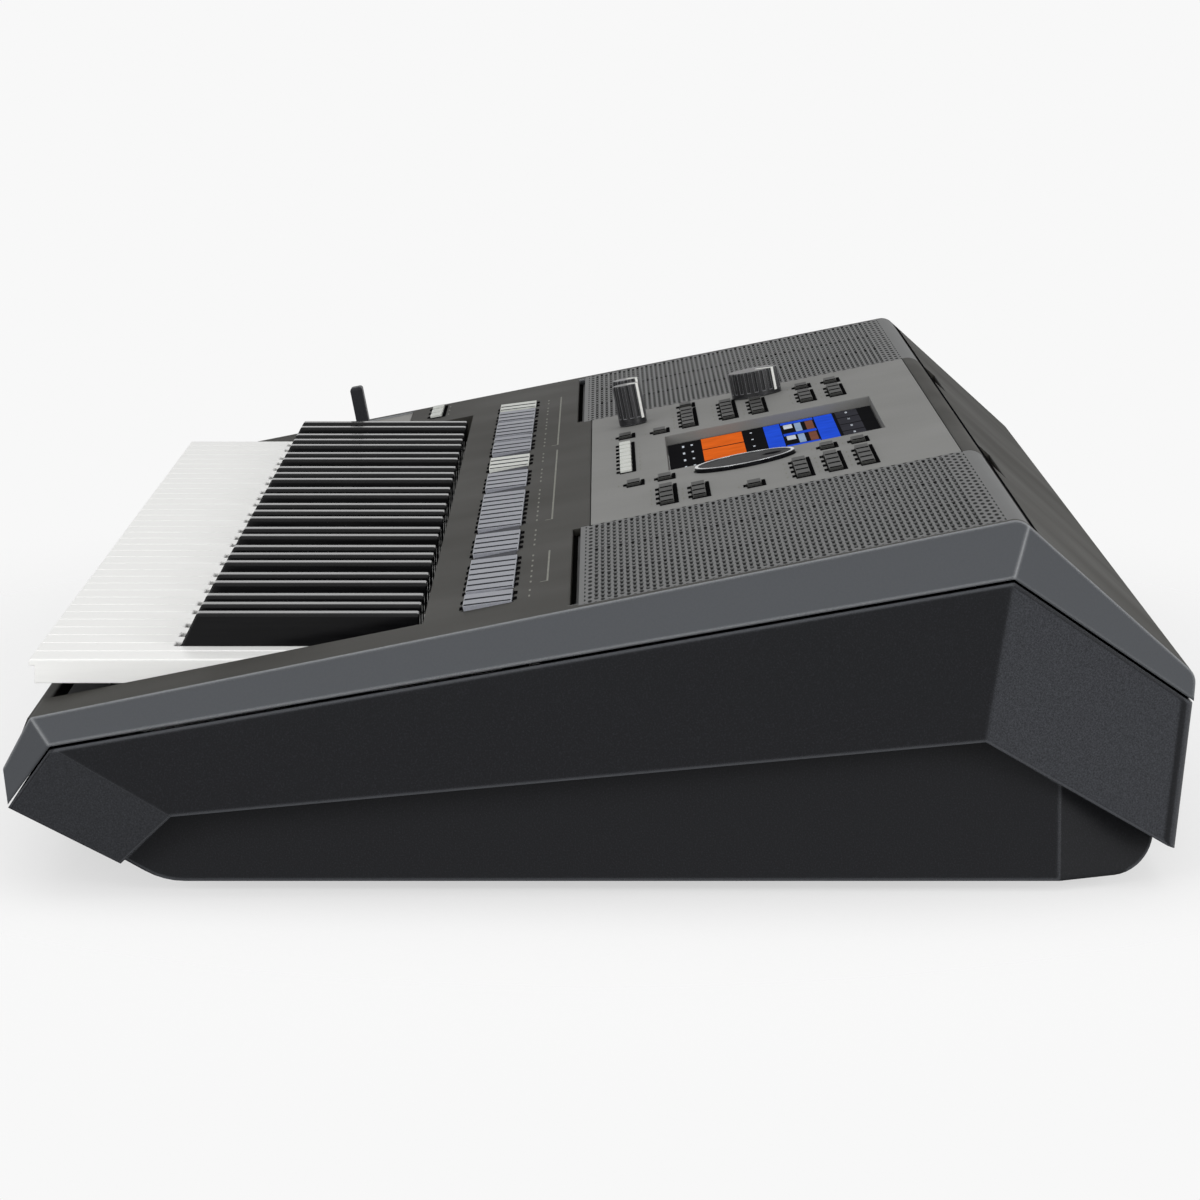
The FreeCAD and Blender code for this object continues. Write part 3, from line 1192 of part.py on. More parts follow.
def pressed_group(node, centres, width, length, carriers):
    caps = caps_at("cap", centres, width, length, "-cap_depth", "small_rise")
    bars = [box("carrier_bar", x_span, s_span, ("-cap_depth", "-cap_depth + carrier"))
            for x_span, s_span in carriers]
    subpart(node, on_panel(fuse(node, caps + bars)))


def carrier_bar(first, second, width, length):
    """A bar under the caps from one cap's centre to another's."""
    return ((f"{first[0]} - {width} / 4", f"{second[0]} + {width} / 4"),
            (f"{first[1]} - {length} / 4", f"{second[1]} + {length} / 4"))


def small_buttons():
    size = ("small_width", "small_length")
    spine = f"{LEFT_COLUMN} - small_pitch"
    rows = [f"display_front + {behind}" for behind in LEFT_ROWS]
    bars = [carrier_bar((spine, rows[6]), (spine, rows[4]), *size)]
    for row, columns in zip(rows, LEFT_ROWS.values()):
        far, near = max(columns + (1,)), min(columns + (1,))
        bars.append(carrier_bar((f"{LEFT_COLUMN} - ({far}) * small_pitch", row),
                                (f"{LEFT_COLUMN} - ({near}) * small_pitch", row), *size))
    pressed_group("left_buttons", SMALL_GROUPS["left_buttons"], *size, bars)
    rear = SMALL_GROUPS["right_rear_buttons"]
    pressed_group("right_rear_buttons", rear, *size,
                  [carrier_bar(rear[row * 4 + 3], rear[row * 4], *size) for row in range(3)]
                  + [carrier_bar(rear[8 + column], rear[column], *size) for column in (0, 3)])
    front = SMALL_GROUPS["right_front_buttons"]
    pressed_group("right_front_buttons", front, *size, [
        carrier_bar(front[3], front[0], *size), carrier_bar(front[6], front[4], *size),
        carrier_bar(front[0], front[7], *size)])
    exits = SMALL_GROUPS["exit_buttons"]
    pressed_group("exit_buttons", exits, *size, [carrier_bar(exits[1], exits[0], *size)])
    pages = SMALL_GROUPS["page_buttons"]
    pressed_group("page_buttons", pages, *size, [carrier_bar(pages[1], pages[0], *size)])
    pressed_group("number_buttons", NUMBERS, "number_width", "number_length",
                  [carrier_bar(NUMBERS[0], NUMBERS[7], "number_width", "number_length")])
    pressed_group("articulation_buttons", ARTICULATION, "articulation_width", "articulation_length",
                  [carrier_bar(ARTICULATION[0], ARTICULATION[2], "articulation_width", "articulation_length")])


def turned_knob(node, centre, radius, height, flutes):
    x, along = centre
    grip = cylinder("grip", (x, along, "knob_lift"), Z_AXIS, radius, height)
    rim = value(f"knob_lift + {height}")
    soft = fillet("grip_soft", grip, "key_round", lambda edge: abs(edge.CenterOfMass.z - rim) < 0.01)
    shaft = cylinder("shaft", (x, along, "-shaft_length"), Z_AXIS, "shaft_radius",
                     "shaft_length + 2 * knob_lift")
    marks = []
    for number in range(flutes):
        turn = f"{360 * number / flutes} * 1 deg"
        marks.append(cylinder("flute", (f"{x} + {radius} * sin({turn})", f"{along} + {radius} * cos({turn})",
                                        f"knob_lift + {height} / 6"), Z_AXIS, "flute_radius", height))
    pointer = box("pointer", (f"{x} - flute_radius", f"{x} + flute_radius"),
                  (f"{along} + {radius} / 3", f"{along} + 2 * {radius}"),
                  (f"knob_lift + {height} - flute_radius", f"2 * {height}"))
    fluted = cut(f"{node}_fluted", fuse(f"{node}_blank", [soft, shaft]), marks)
    subpart(node, on_panel(cut(node, fluted, [pointer])))


def knobs():
    dial, volume, first, second = knob_places()
    x, along = dial
    disc = cylinder("dial_disc", (x, along, "-dial_sink"), Z_AXIS, "dial_radius", "dial_height")
    rim = value("dial_height - dial_sink")
    soft = fillet("dial_soft", disc, "key_round", lambda edge: abs(edge.CenterOfMass.z - rim) < 0.01)
    shaft = cylinder("dial_shaft", (x, along, "-shaft_length"), Z_AXIS, "shaft_radius", "shaft_length")
    dimple_top = "dial_height - dial_sink + dial_radius * 0.4"
    dimple = sphere("dial_dimple", (x, f"{along} + dial_radius * 0.55", dimple_top), "dial_radius * 0.45")
    subpart("data_dial", on_panel(cut("data_dial", fuse("dial_blank", [soft, shaft]), [dimple])))
    turned_knob("volume_dial", volume, "volume_radius", "volume_height", 20)
    turned_knob("live_knob_1", first, "knob_radius", "knob_height", 12)
    turned_knob("live_knob_2", second, "knob_radius", "knob_height", 12)


def joystick():
    middle = ("joystick_x", "joystick_s", "-joystick_drop")
    ring = cylinder("gimbal_ring", ("joystick_x", "joystick_s", "-joystick_drop - ring_thickness / 2"), Z_AXIS,
                    "ring_outer", "ring_thickness")
    bore = cylinder("gimbal_bore", ("joystick_x", "joystick_s", "-joystick_drop - ring_thickness"), Z_AXIS,
                    "ring_inner", "2 * ring_thickness")
    hoop = cut("gimbal_hoop", ring, [bore])
    inside = "(ring_inner + ring_width / 2)"
    stub = "ring_width / 2 + axle_gap + axle_post"
    stubs = [cylinder("gimbal_stub", (middle[0], start, middle[2]), Y_AXIS, "axle_radius", stub)
             for start in (f"joystick_s + {inside}", f"joystick_s - {inside} - ({stub})")]
    pin = "ring_width / 2 + 2 * axle_post"
    pins = [cylinder("gimbal_pin", (start, middle[1], middle[2]), X_AXIS, "axle_radius", pin)
            for start in (f"joystick_x - {inside}", f"joystick_x + {inside} - ({pin})")]
    subpart("joystick_gimbal", on_panel(fuse("joystick_gimbal", [hoop] + stubs + pins)))
    ball = sphere("lever_ball", middle, "ball_radius")
    flat = box("ball_flat", ("joystick_x - 2 * ball_radius", "joystick_x + 2 * ball_radius"),
               ("joystick_s - 2 * ball_radius", "joystick_s + 2 * ball_radius"),
               ("-joystick_drop - 2 * ball_radius", "-joystick_drop - ball_flat"))
    way = cylinder("pin_way", ("joystick_x - 2 * ball_radius", middle[1], middle[2]), X_AXIS,
                   "axle_radius + axle_clearance", "4 * ball_radius")
    paddle = box("lever_paddle", ("joystick_x - lever_width / 2", "joystick_x + lever_width / 2"),
                 ("joystick_s - lever_thickness / 2", "joystick_s + lever_thickness / 2"),
                 ("-joystick_drop + 2 * axle_radius", "lever_height"))
    tip = value("lever_height")
    soft = fillet("paddle_soft", paddle, "lever_thickness / 4", lambda edge: edge.CenterOfMass.z > tip / 3)
    drilled = cut("ball_drilled", cut("ball_cut", ball, [flat]), [way])
    subpart("joystick_lever", on_panel(fuse("joystick_lever", [drilled, soft])))


lower_case()
upper_case()
front_rail()
centre_panel()
speaker_grilles()
speakers()
display()
boards()
rear_sockets()
feet_and_screws()
keybed()
keys()
long_buttons()
small_buttons()
knobs()
joystick()
doc.recompute()

faults = [obj.Name for obj in doc.Objects if "Invalid" in obj.State or "Error" in obj.State]
faults += [obj.Label for obj in subparts if obj.Shape.isNull() or not obj.Shape.isValid()]
if faults:
    raise RuntimeError("failed: " + ", ".join(faults))
os.makedirs("parts", exist_ok=True)
for obj in subparts:
    obj.Shape.exportStep(f"parts/{obj.Label}.step")
print(len(subparts), "sub-parts written")
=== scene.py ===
"""Finishes and panel details of a 61-key arranger keyboard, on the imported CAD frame."""

import functools
import json
import math

import bmesh
import bpy
from bpy.props import FloatProperty, FloatVectorProperty, PointerProperty
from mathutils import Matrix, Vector

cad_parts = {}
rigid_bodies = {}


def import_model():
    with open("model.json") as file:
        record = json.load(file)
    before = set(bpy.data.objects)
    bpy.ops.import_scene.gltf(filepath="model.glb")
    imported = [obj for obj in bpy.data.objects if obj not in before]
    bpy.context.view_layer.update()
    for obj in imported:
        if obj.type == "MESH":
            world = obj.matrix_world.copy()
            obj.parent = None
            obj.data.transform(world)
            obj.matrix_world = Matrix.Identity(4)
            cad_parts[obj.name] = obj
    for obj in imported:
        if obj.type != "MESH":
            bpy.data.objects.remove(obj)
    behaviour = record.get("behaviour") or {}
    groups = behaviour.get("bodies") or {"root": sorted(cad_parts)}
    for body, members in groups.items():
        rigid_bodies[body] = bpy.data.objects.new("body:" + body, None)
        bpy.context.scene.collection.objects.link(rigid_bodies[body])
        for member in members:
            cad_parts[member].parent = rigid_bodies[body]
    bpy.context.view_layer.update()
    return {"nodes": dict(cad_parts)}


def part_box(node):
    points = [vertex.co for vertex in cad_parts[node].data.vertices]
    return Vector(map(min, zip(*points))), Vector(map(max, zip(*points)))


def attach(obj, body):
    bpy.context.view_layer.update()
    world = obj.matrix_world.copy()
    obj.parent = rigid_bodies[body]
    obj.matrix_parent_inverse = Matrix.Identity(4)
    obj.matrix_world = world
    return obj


for startup_object in list(bpy.data.objects):
    bpy.data.objects.remove(startup_object)
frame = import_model()

bl_info = {
    "name": "Arranger Keyboard Finish",
    "version": (1, 0, 0),
    "blender": (4, 5, 0),
    "location": "View3D > Sidebar > Keyboard",
    "description": "Finishes and panel details for a 61-key arranger keyboard",
    "category": "Object",
}

MM = 0.001
PANEL_ANGLE = math.radians(11.31)
PANEL_LEVEL = 108.4 * MM
SMOOTH_ANGLE = math.radians(35)
FACING = 0.9  # least share of a face's normal along the axis that it faces
EDGE_SAMPLES = 6
# A Map Range node's sockets are its value, the ends of the range that this comes from and the ends
# of the range that it goes to. A colour Mix node's are its share and the colours below and above.
SHARE, UNDER, OVER = 0, 6, 7

# The long caps behind the keys: how many stand side by side in each group, from the treble end.
ROW_COUNTS = {
    "long_buttons_1": (2,), "long_buttons_2": (6,), "long_buttons_3": (4,),
    "long_buttons_4": (8,), "long_buttons_5": (4,), "long_buttons_6": (3,),
    "long_buttons_7": (3, 1), "long_buttons_8": (4,), "long_buttons_9": (3,),
    "long_buttons_10": (2,),
}
# Strips of small caps by body: the treble cap's middle along the keyboard and up the slope, in
# millimetres, and how many caps the strip has.
SMALL_STRIPS = {
    "left_buttons": (
        (-109, 41.8, 5), (-208, 41.8, 1), (-109, 60.7, 5), (-109, 74.7, 4), (-118, 97.9, 3),
        (-188.2, 97.9, 1), (-118, 111.9, 3), (-188.2, 111.9, 1), (-105.4, 28, 1),
        (-112.6, 11.8, 1)),
    "right_rear_buttons": ((203, 112, 4), (203, 98.5, 4), (203, 85, 4)),
    "right_front_buttons": ((203, 28, 4), (203, 41.5, 3), (203, 64.45, 1)),
    "exit_buttons": ((110.4, 112, 1), (110.4, 98.5, 1)),
    "page_buttons": ((106, 28, 1), (106, 14.5, 1)),
}
# Pitch of the caps in a strip, and half the width and depth of a cap, in millimetres.
SMALL_PITCH, SMALL_WIDE, SMALL_DEEP = 18, 8.7, 2.8
NUMBER_PITCH, NUMBER_WIDE, NUMBER_DEEP = 17, 5.5, 2.5
ARTICULATION_PITCH, ARTICULATION_WIDE, ARTICULATION_DEEP = 22, 7.5, 2.9
SMALL_CAPS = [
    (x - SMALL_PITCH * cap, s, body) for body, strips in SMALL_STRIPS.items()
    for x, s, count in strips for cap in range(count)]
NUMBER_CAPS = [(-72.5 + NUMBER_PITCH * cap, 11.5) for cap in range(8)]
ARTICULATION_CAPS = [(-477 + ARTICULATION_PITCH * cap, -87.2) for cap in range(3)]


def linear(colour):
    """Turns an sRGB hex value into the linear red, green, blue and alpha of Blender's sockets."""
    channels = [int(colour[place:place + 2], 16) / 255 for place in (0, 2, 4)]
    return tuple(
        c / 12.92 if c <= 0.04045 else ((c + 0.055) / 1.055) ** 2.4 for c in channels) + (1.0,)


def colour_property(name, description, colour):
    return FloatVectorProperty(
        name=name, description=description, subtype="COLOR", size=4, min=0.0, max=1.0,
        default=linear(colour))


def length_property(name, description, millimetres):
    return FloatProperty(
        name=name, description=description, unit="LENGTH", min=0.0, precision=5,
        default=millimetres * MM)


class KeyboardColours(bpy.types.PropertyGroup):
    """Colours of the case, keys and caps."""
    panel: colour_property("Front panel", "Grained plastic of the top of the case", "33322f")
    # The side bands' grey is painted light: lighter and bluer where the ends face sideways.
    lit_band: colour_property("Side bands", "Painted ends of the upper case", "494b4e")
    lower: colour_property("Lower case", "Spark-textured plastic below the seam", "0e0f12")
    centre: colour_property("Centre panel", "Painted panel round the display", "747472")
    grille: colour_property("Speaker grilles", "Paint of the perforated plates", "515252")
    white_key: colour_property("White keys", "Moulded white keys", "e4e4e2")
    black_key: colour_property("Black keys", "Polished black keys", "060607")
    long_cap: colour_property("Long caps", "Grey caps behind the keys", "83858c")
    white_cap: colour_property("White caps", "Pale caps", "bdbfba")
    small_cap: colour_property("Small caps", "Dark caps round the display", "30302f")
    ink: colour_property("Print", "Lines printed on the panel", "7d7d77")


class KeyboardSizes(bpy.types.PropertyGroup):
    """Sizes of the pieces that this file adds."""
    cap_pitch: length_property("Cap pitch", "Distance between two long caps", 17.3)
    run_gap: length_property("Run gap", "Gap between two runs of caps in one group", 9.0)
    pip_width: length_property("Pip width", "Black stop at either end of a long cap", 7.0)
    pip_length: length_property("Pip length", "How far a stop reaches from the cap", 1.6)
    trim_rise: length_property("Trim rise", "Height of trim above the panel", 0.35)
    frame_margin: length_property("Frame margin", "Width of the edging round a small cap", 1.5)
    frame_gap: length_property("Frame gap", "Room between a small cap and its edging", 0.4)
    sheet_drop: length_property("Sheet drop", "Depth of the punched sheet below the ribs", 0.45)
    cap_front_rise: length_property("Cap front rise", "Height of a long cap at its front", 2.0)
    cap_rear_rise: length_property("Cap rear rise", "Height of a long cap at its rear", 0.7)
    # The cap line and small line are widths of painted shade on the flanks of the caps.
    cap_line: length_property("Cap line", "Width of the line between two long caps", 3.4)
    small_line: length_property("Small line", "Width of the line between two small caps", 4.0)
    print_width: length_property("Print width", "Width of a printed line", 0.7)
    print_rise: length_property("Print rise", "Thickness of the printed ink", 0.06)
    ring_width: length_property("Ring width", "Width of the bright ring on the data dial", 1.6)
    stripe_width: length_property("Stripe width", "Width of the stripe on a knob", 1.6)
    nut_width: length_property("Nut width", "Width of the nut round a jack socket", 2.2)


def add_node(tree, kind, inputs=(), **settings):
    """Adds one shader node, sets it, and fills its sockets, which are given by name or in order,
    with values, sockets or other nodes."""
    node = tree.nodes.new("ShaderNode" + kind)
    for name, setting in settings.items():
        setattr(node, name, setting)
    for socket, source in inputs.items() if isinstance(inputs, dict) else enumerate(inputs):
        if isinstance(source, bpy.types.Node):
            source = next(output for output in source.outputs if output.enabled)
        if isinstance(source, bpy.types.NodeSocket):
            tree.links.new(source, node.inputs[socket])
        else:
            node.inputs[socket].default_value = source
    return node


def new_material(name):
    """An empty material, the function that adds its nodes, and the piece's own coordinates."""
    material = bpy.data.materials.new(name)
    material.use_nodes = True
    material.node_tree.nodes.clear()
    add = functools.partial(add_node, material.node_tree)
    return material, add, add("TexCoord").outputs["Object"]


def close_material(material, shader):
    """Joins a shader to the output of its material."""
    add_node(material.node_tree, "OutputMaterial", {"Surface": shader})
    return material


def painted_edge_highlight(add, soft, full, share):
    """Painted highlight on an edge: how far its softened normal turns away from the face's."""
    flat = add("NewGeometry").outputs["Normal"]
    turned = add("VectorMath", [soft, flat], operation="DOT_PRODUCT")
    return add("MapRange", [turned, 0.997, full, 0.0, share])


def seen_rays(add):
    """1 for a ray that shows the background itself: from the camera, in gloss or through glass."""
    path = add("LightPath")
    seen = path.outputs["Is Camera Ray"]
    for kind in ("Is Glossy Ray", "Is Transmission Ray"):
        seen = add("Math", [seen, path.outputs[kind]], operation="MAXIMUM")
    return seen


def grained_abs(name, colour, fleck, grain, depth, roughness, edge, gloss=0.1, edge_highlight=None,
                facet_highlight=None):
    """ABS from a spark-eroded mould: fine pits break the highlight into flecks, and soft edges
    get a paler painted highlight. Grain, depth and edge are in millimetres."""
    material, add, place = new_material(name)
    soft = add("Bevel", {"Radius": edge * MM}, samples=EDGE_SAMPLES)
    pits = add("TexNoise", {
        "Vector": place, "Scale": 1 / (grain * MM), "Detail": 2.0, "Roughness": 0.6})
    handling = add("TexNoise", {"Vector": place, "Scale": 1 / (90 * MM), "Detail": 3.0})
    bright = add("MapRange", [pits, 0.5, 0.8])
    tint = add("Mix", {SHARE: bright, UNDER: colour, OVER: fleck}, data_type="RGBA")
    wear_and_highlight = painted_edge_highlight(add, soft, full=0.96, share=0.8)
    if facet_highlight:
        # Painted highlight: facets that lean to the front or rear are painted paler, in flecks of
        # the grain. The steep corner of the tub gets neither this nor the painted edge highlight,
        # so it stays dark.
        facing = add("SeparateXYZ", [soft])
        lengthways = add("Math", [facing.outputs["Y"]], operation="ABSOLUTE")
        corner = add("MapRange", [lengthways, 0.03, 0.2, 0.0, 0.7])
        steep = add("Math", [lengthways, 0.39, 0.17], operation="COMPARE")
        lit_facet = add("Math", [corner, steep], operation="SUBTRACT", use_clamp=True)
        sparkle = add("MapRange", [pits, 0.1, 0.9])
        painted_glint = add("Math", [lit_facet, sparkle], operation="MULTIPLY")
        tint = add("Mix", {SHARE: painted_glint, UNDER: tint, OVER: facet_highlight}, data_type="RGBA")
        wear_and_highlight = add("Math", [wear_and_highlight, steep], operation="SUBTRACT", use_clamp=True)
    # Painted highlight: edges get the highlight colour, and the fleck colour where none is given.
    tint = add("Mix", {SHARE: wear_and_highlight, UNDER: tint, OVER: edge_highlight or fleck}, data_type="RGBA")
    worn = add("MapRange", [handling, 0.3, 0.7, roughness - 0.06, roughness + 0.06])
    bump = add("Bump", {"Strength": 0.5, "Distance": depth * MM, "Height": pits, "Normal": soft})
    return close_material(material, add("BsdfPrincipled", {
        "Base Color": tint, "Roughness": worn, "IOR": 1.54, "Specular IOR Level": gloss,
        "Normal": bump}))


def black_trim(name, grain=0.6, depth=0.04, roughness=0.7):
    """Black ABS or foam trim: dull, and darker than the caps and panels beside it."""
    return grained_abs(name, linear("0b0b0c"), linear("161617"), grain, depth, roughness, edge=0.2,
                       gloss=0.0)


def painted_case(colours):
    """Upper case: olive-grey grained top; where the ends face sideways they are painted a
    lighter, bluer grey as painted light, with a smoother coat.
    """
    material, add, place = new_material("sprayed_ABS_upper_case")
    grain = add("TexNoise", {
        "Vector": place, "Scale": 1 / (0.7 * MM), "Detail": 2.0, "Roughness": 0.6})
    cloud = add("TexNoise", {"Vector": place, "Scale": 1 / (110 * MM), "Detail": 3.0})
    # Painted light: faces at the ends that turn sideways get the lighter, bluer grey of the side
    # bands.
    facing = add("SeparateXYZ", [place.node.outputs["Normal"]])
    sideways = add("Math", [facing.outputs["X"]], operation="ABSOLUTE")
    turned_out = add("MapRange", [sideways, 0.35, 0.5])
    # The walls of the key well face sideways too, but they keep the colour of the top.
    end_start = 470 * MM
    here = add("SeparateXYZ", [place])
    off_centre = add("Math", [here.outputs["X"]], operation="ABSOLUTE")
    outer = add("Math", [off_centre, end_start], operation="GREATER_THAN")
    end_light_share = add("Math", [turned_out, outer], operation="MULTIPLY")
    paint = add("Mix", {SHARE: end_light_share, UNDER: colours.panel, OVER: colours.lit_band}, data_type="RGBA")
    shade = add("MapRange", [grain, 0.3, 0.75, 0.9, 1.16])
    grained = add("MapRange", [end_light_share, 0.0, 1.0, 1.0, 0.3])
    tint = add("Mix", {
        SHARE: grained, UNDER: paint, OVER: shade}, data_type="RGBA", blend_type="MULTIPLY")
    worn = add("MapRange", [cloud, 0.3, 0.7, 0.5, 0.62])
    soft = add("Bevel", {"Radius": 2.0 * MM}, samples=EDGE_SAMPLES)
    wear_and_highlight = painted_edge_highlight(add, soft, full=0.95, share=0.85)
    soft_facing = add("SeparateXYZ", [soft])
    soft_sideways = add("Math", [soft_facing.outputs["X"]], operation="ABSOLUTE")
    at_end = add("MapRange", [soft_sideways, 0.15, 0.35])
    # Painted highlight on the upper edge of the bands, and not on the edge along the seam.
    upward = add("MapRange", [soft_facing.outputs["Z"], 0.05, 0.25, 0.0, outer])
    end_edge = add("Math", [at_end, upward], operation="MULTIPLY")
    end_highlight = add("Math", [wear_and_highlight, end_edge], operation="MULTIPLY")
    tint = add("Mix", {SHARE: end_highlight, UNDER: tint, OVER: linear("989a9c")}, data_type="RGBA")
    bump = add("Bump", {"Strength": 0.3, "Distance": 0.05 * MM, "Height": grain, "Normal": soft})
    return close_material(material, add("BsdfPrincipled", {
        "Base Color": tint, "Roughness": worn, "IOR": 1.5, "Specular IOR Level": 0.03,
        "Normal": bump}))


def perforated_steel(colours):
    """Painted steel plate with staggered oblong holes, 12 mm apart so that they show. The holes
    are painted near black, as painted shade, and pressed in by a bump.
    """
    material, add, place = new_material("perforated_painted_steel")
    across, along = 12 * MM, 2.4 * math.cos(PANEL_ANGLE) * MM
    half_long, half_wide = 3.6 * MM, 0.8 * MM
    first_row = -1.6 * MM
    field_middle, field_reach = 70.2 * MM, 76.3 * MM
    distances = []
    for shift in ((0.0, -first_row, 0.0), (across / 2, along - first_row, 0.0)):
        moved = add("VectorMath", [place, shift], operation="ADD")
        cell = add("VectorMath", [
            moved, (across / 2, along, 1.0), (-across / 2, -along, -1.0)], operation="WRAP")
        oval = add("VectorMath", [cell, (1 / half_long, 1 / half_wide, 0.0)], operation="MULTIPLY")
        distances.append(add("VectorMath", [oval], operation="LENGTH"))
    nearest = add("Math", distances, operation="MINIMUM")
    around_holes = add("MapRange", [nearest, 0.8, 1.1], interpolation_type="SMOOTHSTEP")
    # The rim before the first rib and the rolled rear edge aren't pierced.
    reach = add("SeparateXYZ", [place])
    field = add("Math", [reach.outputs["Y"], field_middle, field_reach], operation="COMPARE")
    rim = add("Math", [1.0, field], operation="SUBTRACT")
    plate = add("Math", [around_holes, rim], operation="MAXIMUM")
    paint = add("TexNoise", {"Vector": place, "Scale": 1 / (25 * MM)})
    shade = add("MapRange", [paint, 0.0, 1.0, 0.92, 1.08])
    skin = add("Mix", {
        SHARE: 1.0, UNDER: colours.grille, OVER: shade}, data_type="RGBA", blend_type="MULTIPLY")
    # Painted shade: the holes are painted near black for the dark behind them.
    tint = add("Mix", {SHARE: plate, UNDER: linear("1c1c1c"), OVER: skin}, data_type="RGBA")
    rough = add("MapRange", [plate, 0.0, 1.0, 0.9, 0.45])
    bump = add("Bump", {"Strength": 0.6, "Distance": 0.3 * MM, "Height": plate})
    return close_material(material, add("BsdfPrincipled", {
        "Base Color": tint, "Roughness": rough, "IOR": 1.5, "Specular IOR Level": 0.06,
        "Normal": bump}))


def polished_plastic(name, colour, worn_colour, roughness, edge, gloss):
    """Gloss moulding: an even skin with faint rubbed streaks and softly rounded edges."""
    material, add, place = new_material(name)
    stretch = add("Mapping", {"Vector": place, "Scale": (1.0, 0.06, 1.0)})
    streaks = add("TexNoise", {"Vector": stretch, "Scale": 1 / (1.5 * MM), "Detail": 4.0})
    wear_and_highlight = add("MapRange", [streaks, 0.35, 0.75])
    tint = add("Mix", {SHARE: wear_and_highlight, UNDER: colour, OVER: worn_colour}, data_type="RGBA")
    rough = add("MapRange", [streaks, 0.0, 1.0, roughness * 0.7, roughness * 1.3])
    soft = add("Bevel", {"Radius": edge * MM}, samples=EDGE_SAMPLES)
    bump = add("Bump", {"Strength": 0.04, "Distance": 0.02 * MM, "Height": streaks, "Normal": soft})
    return close_material(material, add("BsdfPrincipled", {
        "Base Color": tint, "Roughness": rough, "IOR": 1.5, "Specular IOR Level": gloss,
        "Normal": bump}))


def spun_metal(name, colour, roughness, brush):
    """Plated or bare metal: fine marks of working vary the gloss and break the highlight."""
    material, add, place = new_material(name)
    marks = add("TexNoise", {"Vector": place, "Scale": 1 / (brush * MM), "Detail": 3.0})
    rough = add("MapRange", [marks, 0.3, 0.7, roughness * 0.7, roughness * 1.4])
    soft = add("Bevel", {"Radius": 0.4 * MM}, samples=EDGE_SAMPLES)
    bump = add("Bump", {"Strength": 0.1, "Distance": 0.02 * MM, "Height": marks, "Normal": soft})
    return close_material(material, add("BsdfPrincipled", {
        "Base Color": colour, "Metallic": 1.0, "Roughness": rough, "Normal": bump}))


def backlit_film(name, colour, lines):
    """Lit display film: the colour glows through pixel rows, 0.5 mm apart so that they show."""
    material, add, place = new_material(name)
    rows = add("TexWave", {"Vector": place, "Scale": 0.314 / (0.5 * MM)}, bands_direction="Y")
    patches = add("TexVoronoi", {"Vector": place, "Scale": 1 / (9 * MM)})
    blend = add("MapRange", [patches, 0.0, 1.0, 0.86, 1.12])
    row_shade = add("MapRange", [rows.outputs["Fac"], 0.0, 1.0, 1.0 - lines, 1.0])
    level = add("Math", [blend, row_shade], operation="MULTIPLY")
    tint = add("Mix", {
        SHARE: 1.0, UNDER: colour, OVER: level}, data_type="RGBA", blend_type="MULTIPLY")
    return close_material(material, add("BsdfPrincipled", {
        "Base Color": linear("0a0a0a"), "Roughness": 0.3, "IOR": 1.5, "Specular IOR Level": 0.0,
        "Emission Color": tint, "Emission Strength": 0.95}))


def smoked_acrylic():
    """Display cover: dark glossy sheet whose faint dust shows as small changes of gloss."""
    material, add, place = new_material("smoked_acrylic")
    dust = add("TexNoise", {"Vector": place, "Scale": 1 / (6 * MM), "Detail": 5.0})
    rough = add("MapRange", [dust, 0.35, 0.7, 0.04, 0.12])
    tint = add("Mix", {
        SHARE: dust, UNDER: linear("0c0c0e"), OVER: linear("17171a")}, data_type="RGBA")
    return close_material(material, add("BsdfPrincipled", {
        "Base Color": tint, "Roughness": rough, "IOR": 1.49, "Specular IOR Level": 0.03}))


def matted_fibres(name, dark, pale, length, curl, relief, depth, skin):
    """Felt or pulp: curled fibres of two shades leave a mottled, dull skin."""
    material, add, place = new_material(name)
    fibres = add("TexNoise", {
        "Vector": place, "Scale": 1 / (length * MM), "Detail": 6.0, "Distortion": curl})
    tint = add("Mix", {SHARE: fibres, UNDER: linear(dark), OVER: linear(pale)}, data_type="RGBA")
    bump = add("Bump", {"Strength": relief, "Distance": depth * MM, "Height": fibres})
    return close_material(material, add("BsdfPrincipled", {
        "Base Color": tint, "Normal": bump, **skin}))


def lacquered_board():
    """Circuit board: dark green lacquer over paler copper tracks about 1.2 mm apart."""
    material, add, place = new_material("lacquered_circuit_board")
    tracks = add("TexBrick", {
        "Vector": place, "Color1": linear("0b1d14"), "Color2": linear("0e2419"),
        "Mortar": linear("182f21"), "Scale": 1.0, "Mortar Size": 0.2 * MM, "Brick Width": 6 * MM,
        "Row Height": 1.2 * MM})
    bump = add("Bump", {"Strength": 0.3, "Distance": 0.05 * MM, "Height": tracks.outputs["Fac"]})
    return close_material(material, add("BsdfPrincipled", {
        "Base Color": tracks, "Roughness": 0.32, "IOR": 1.55, "Normal": bump}))


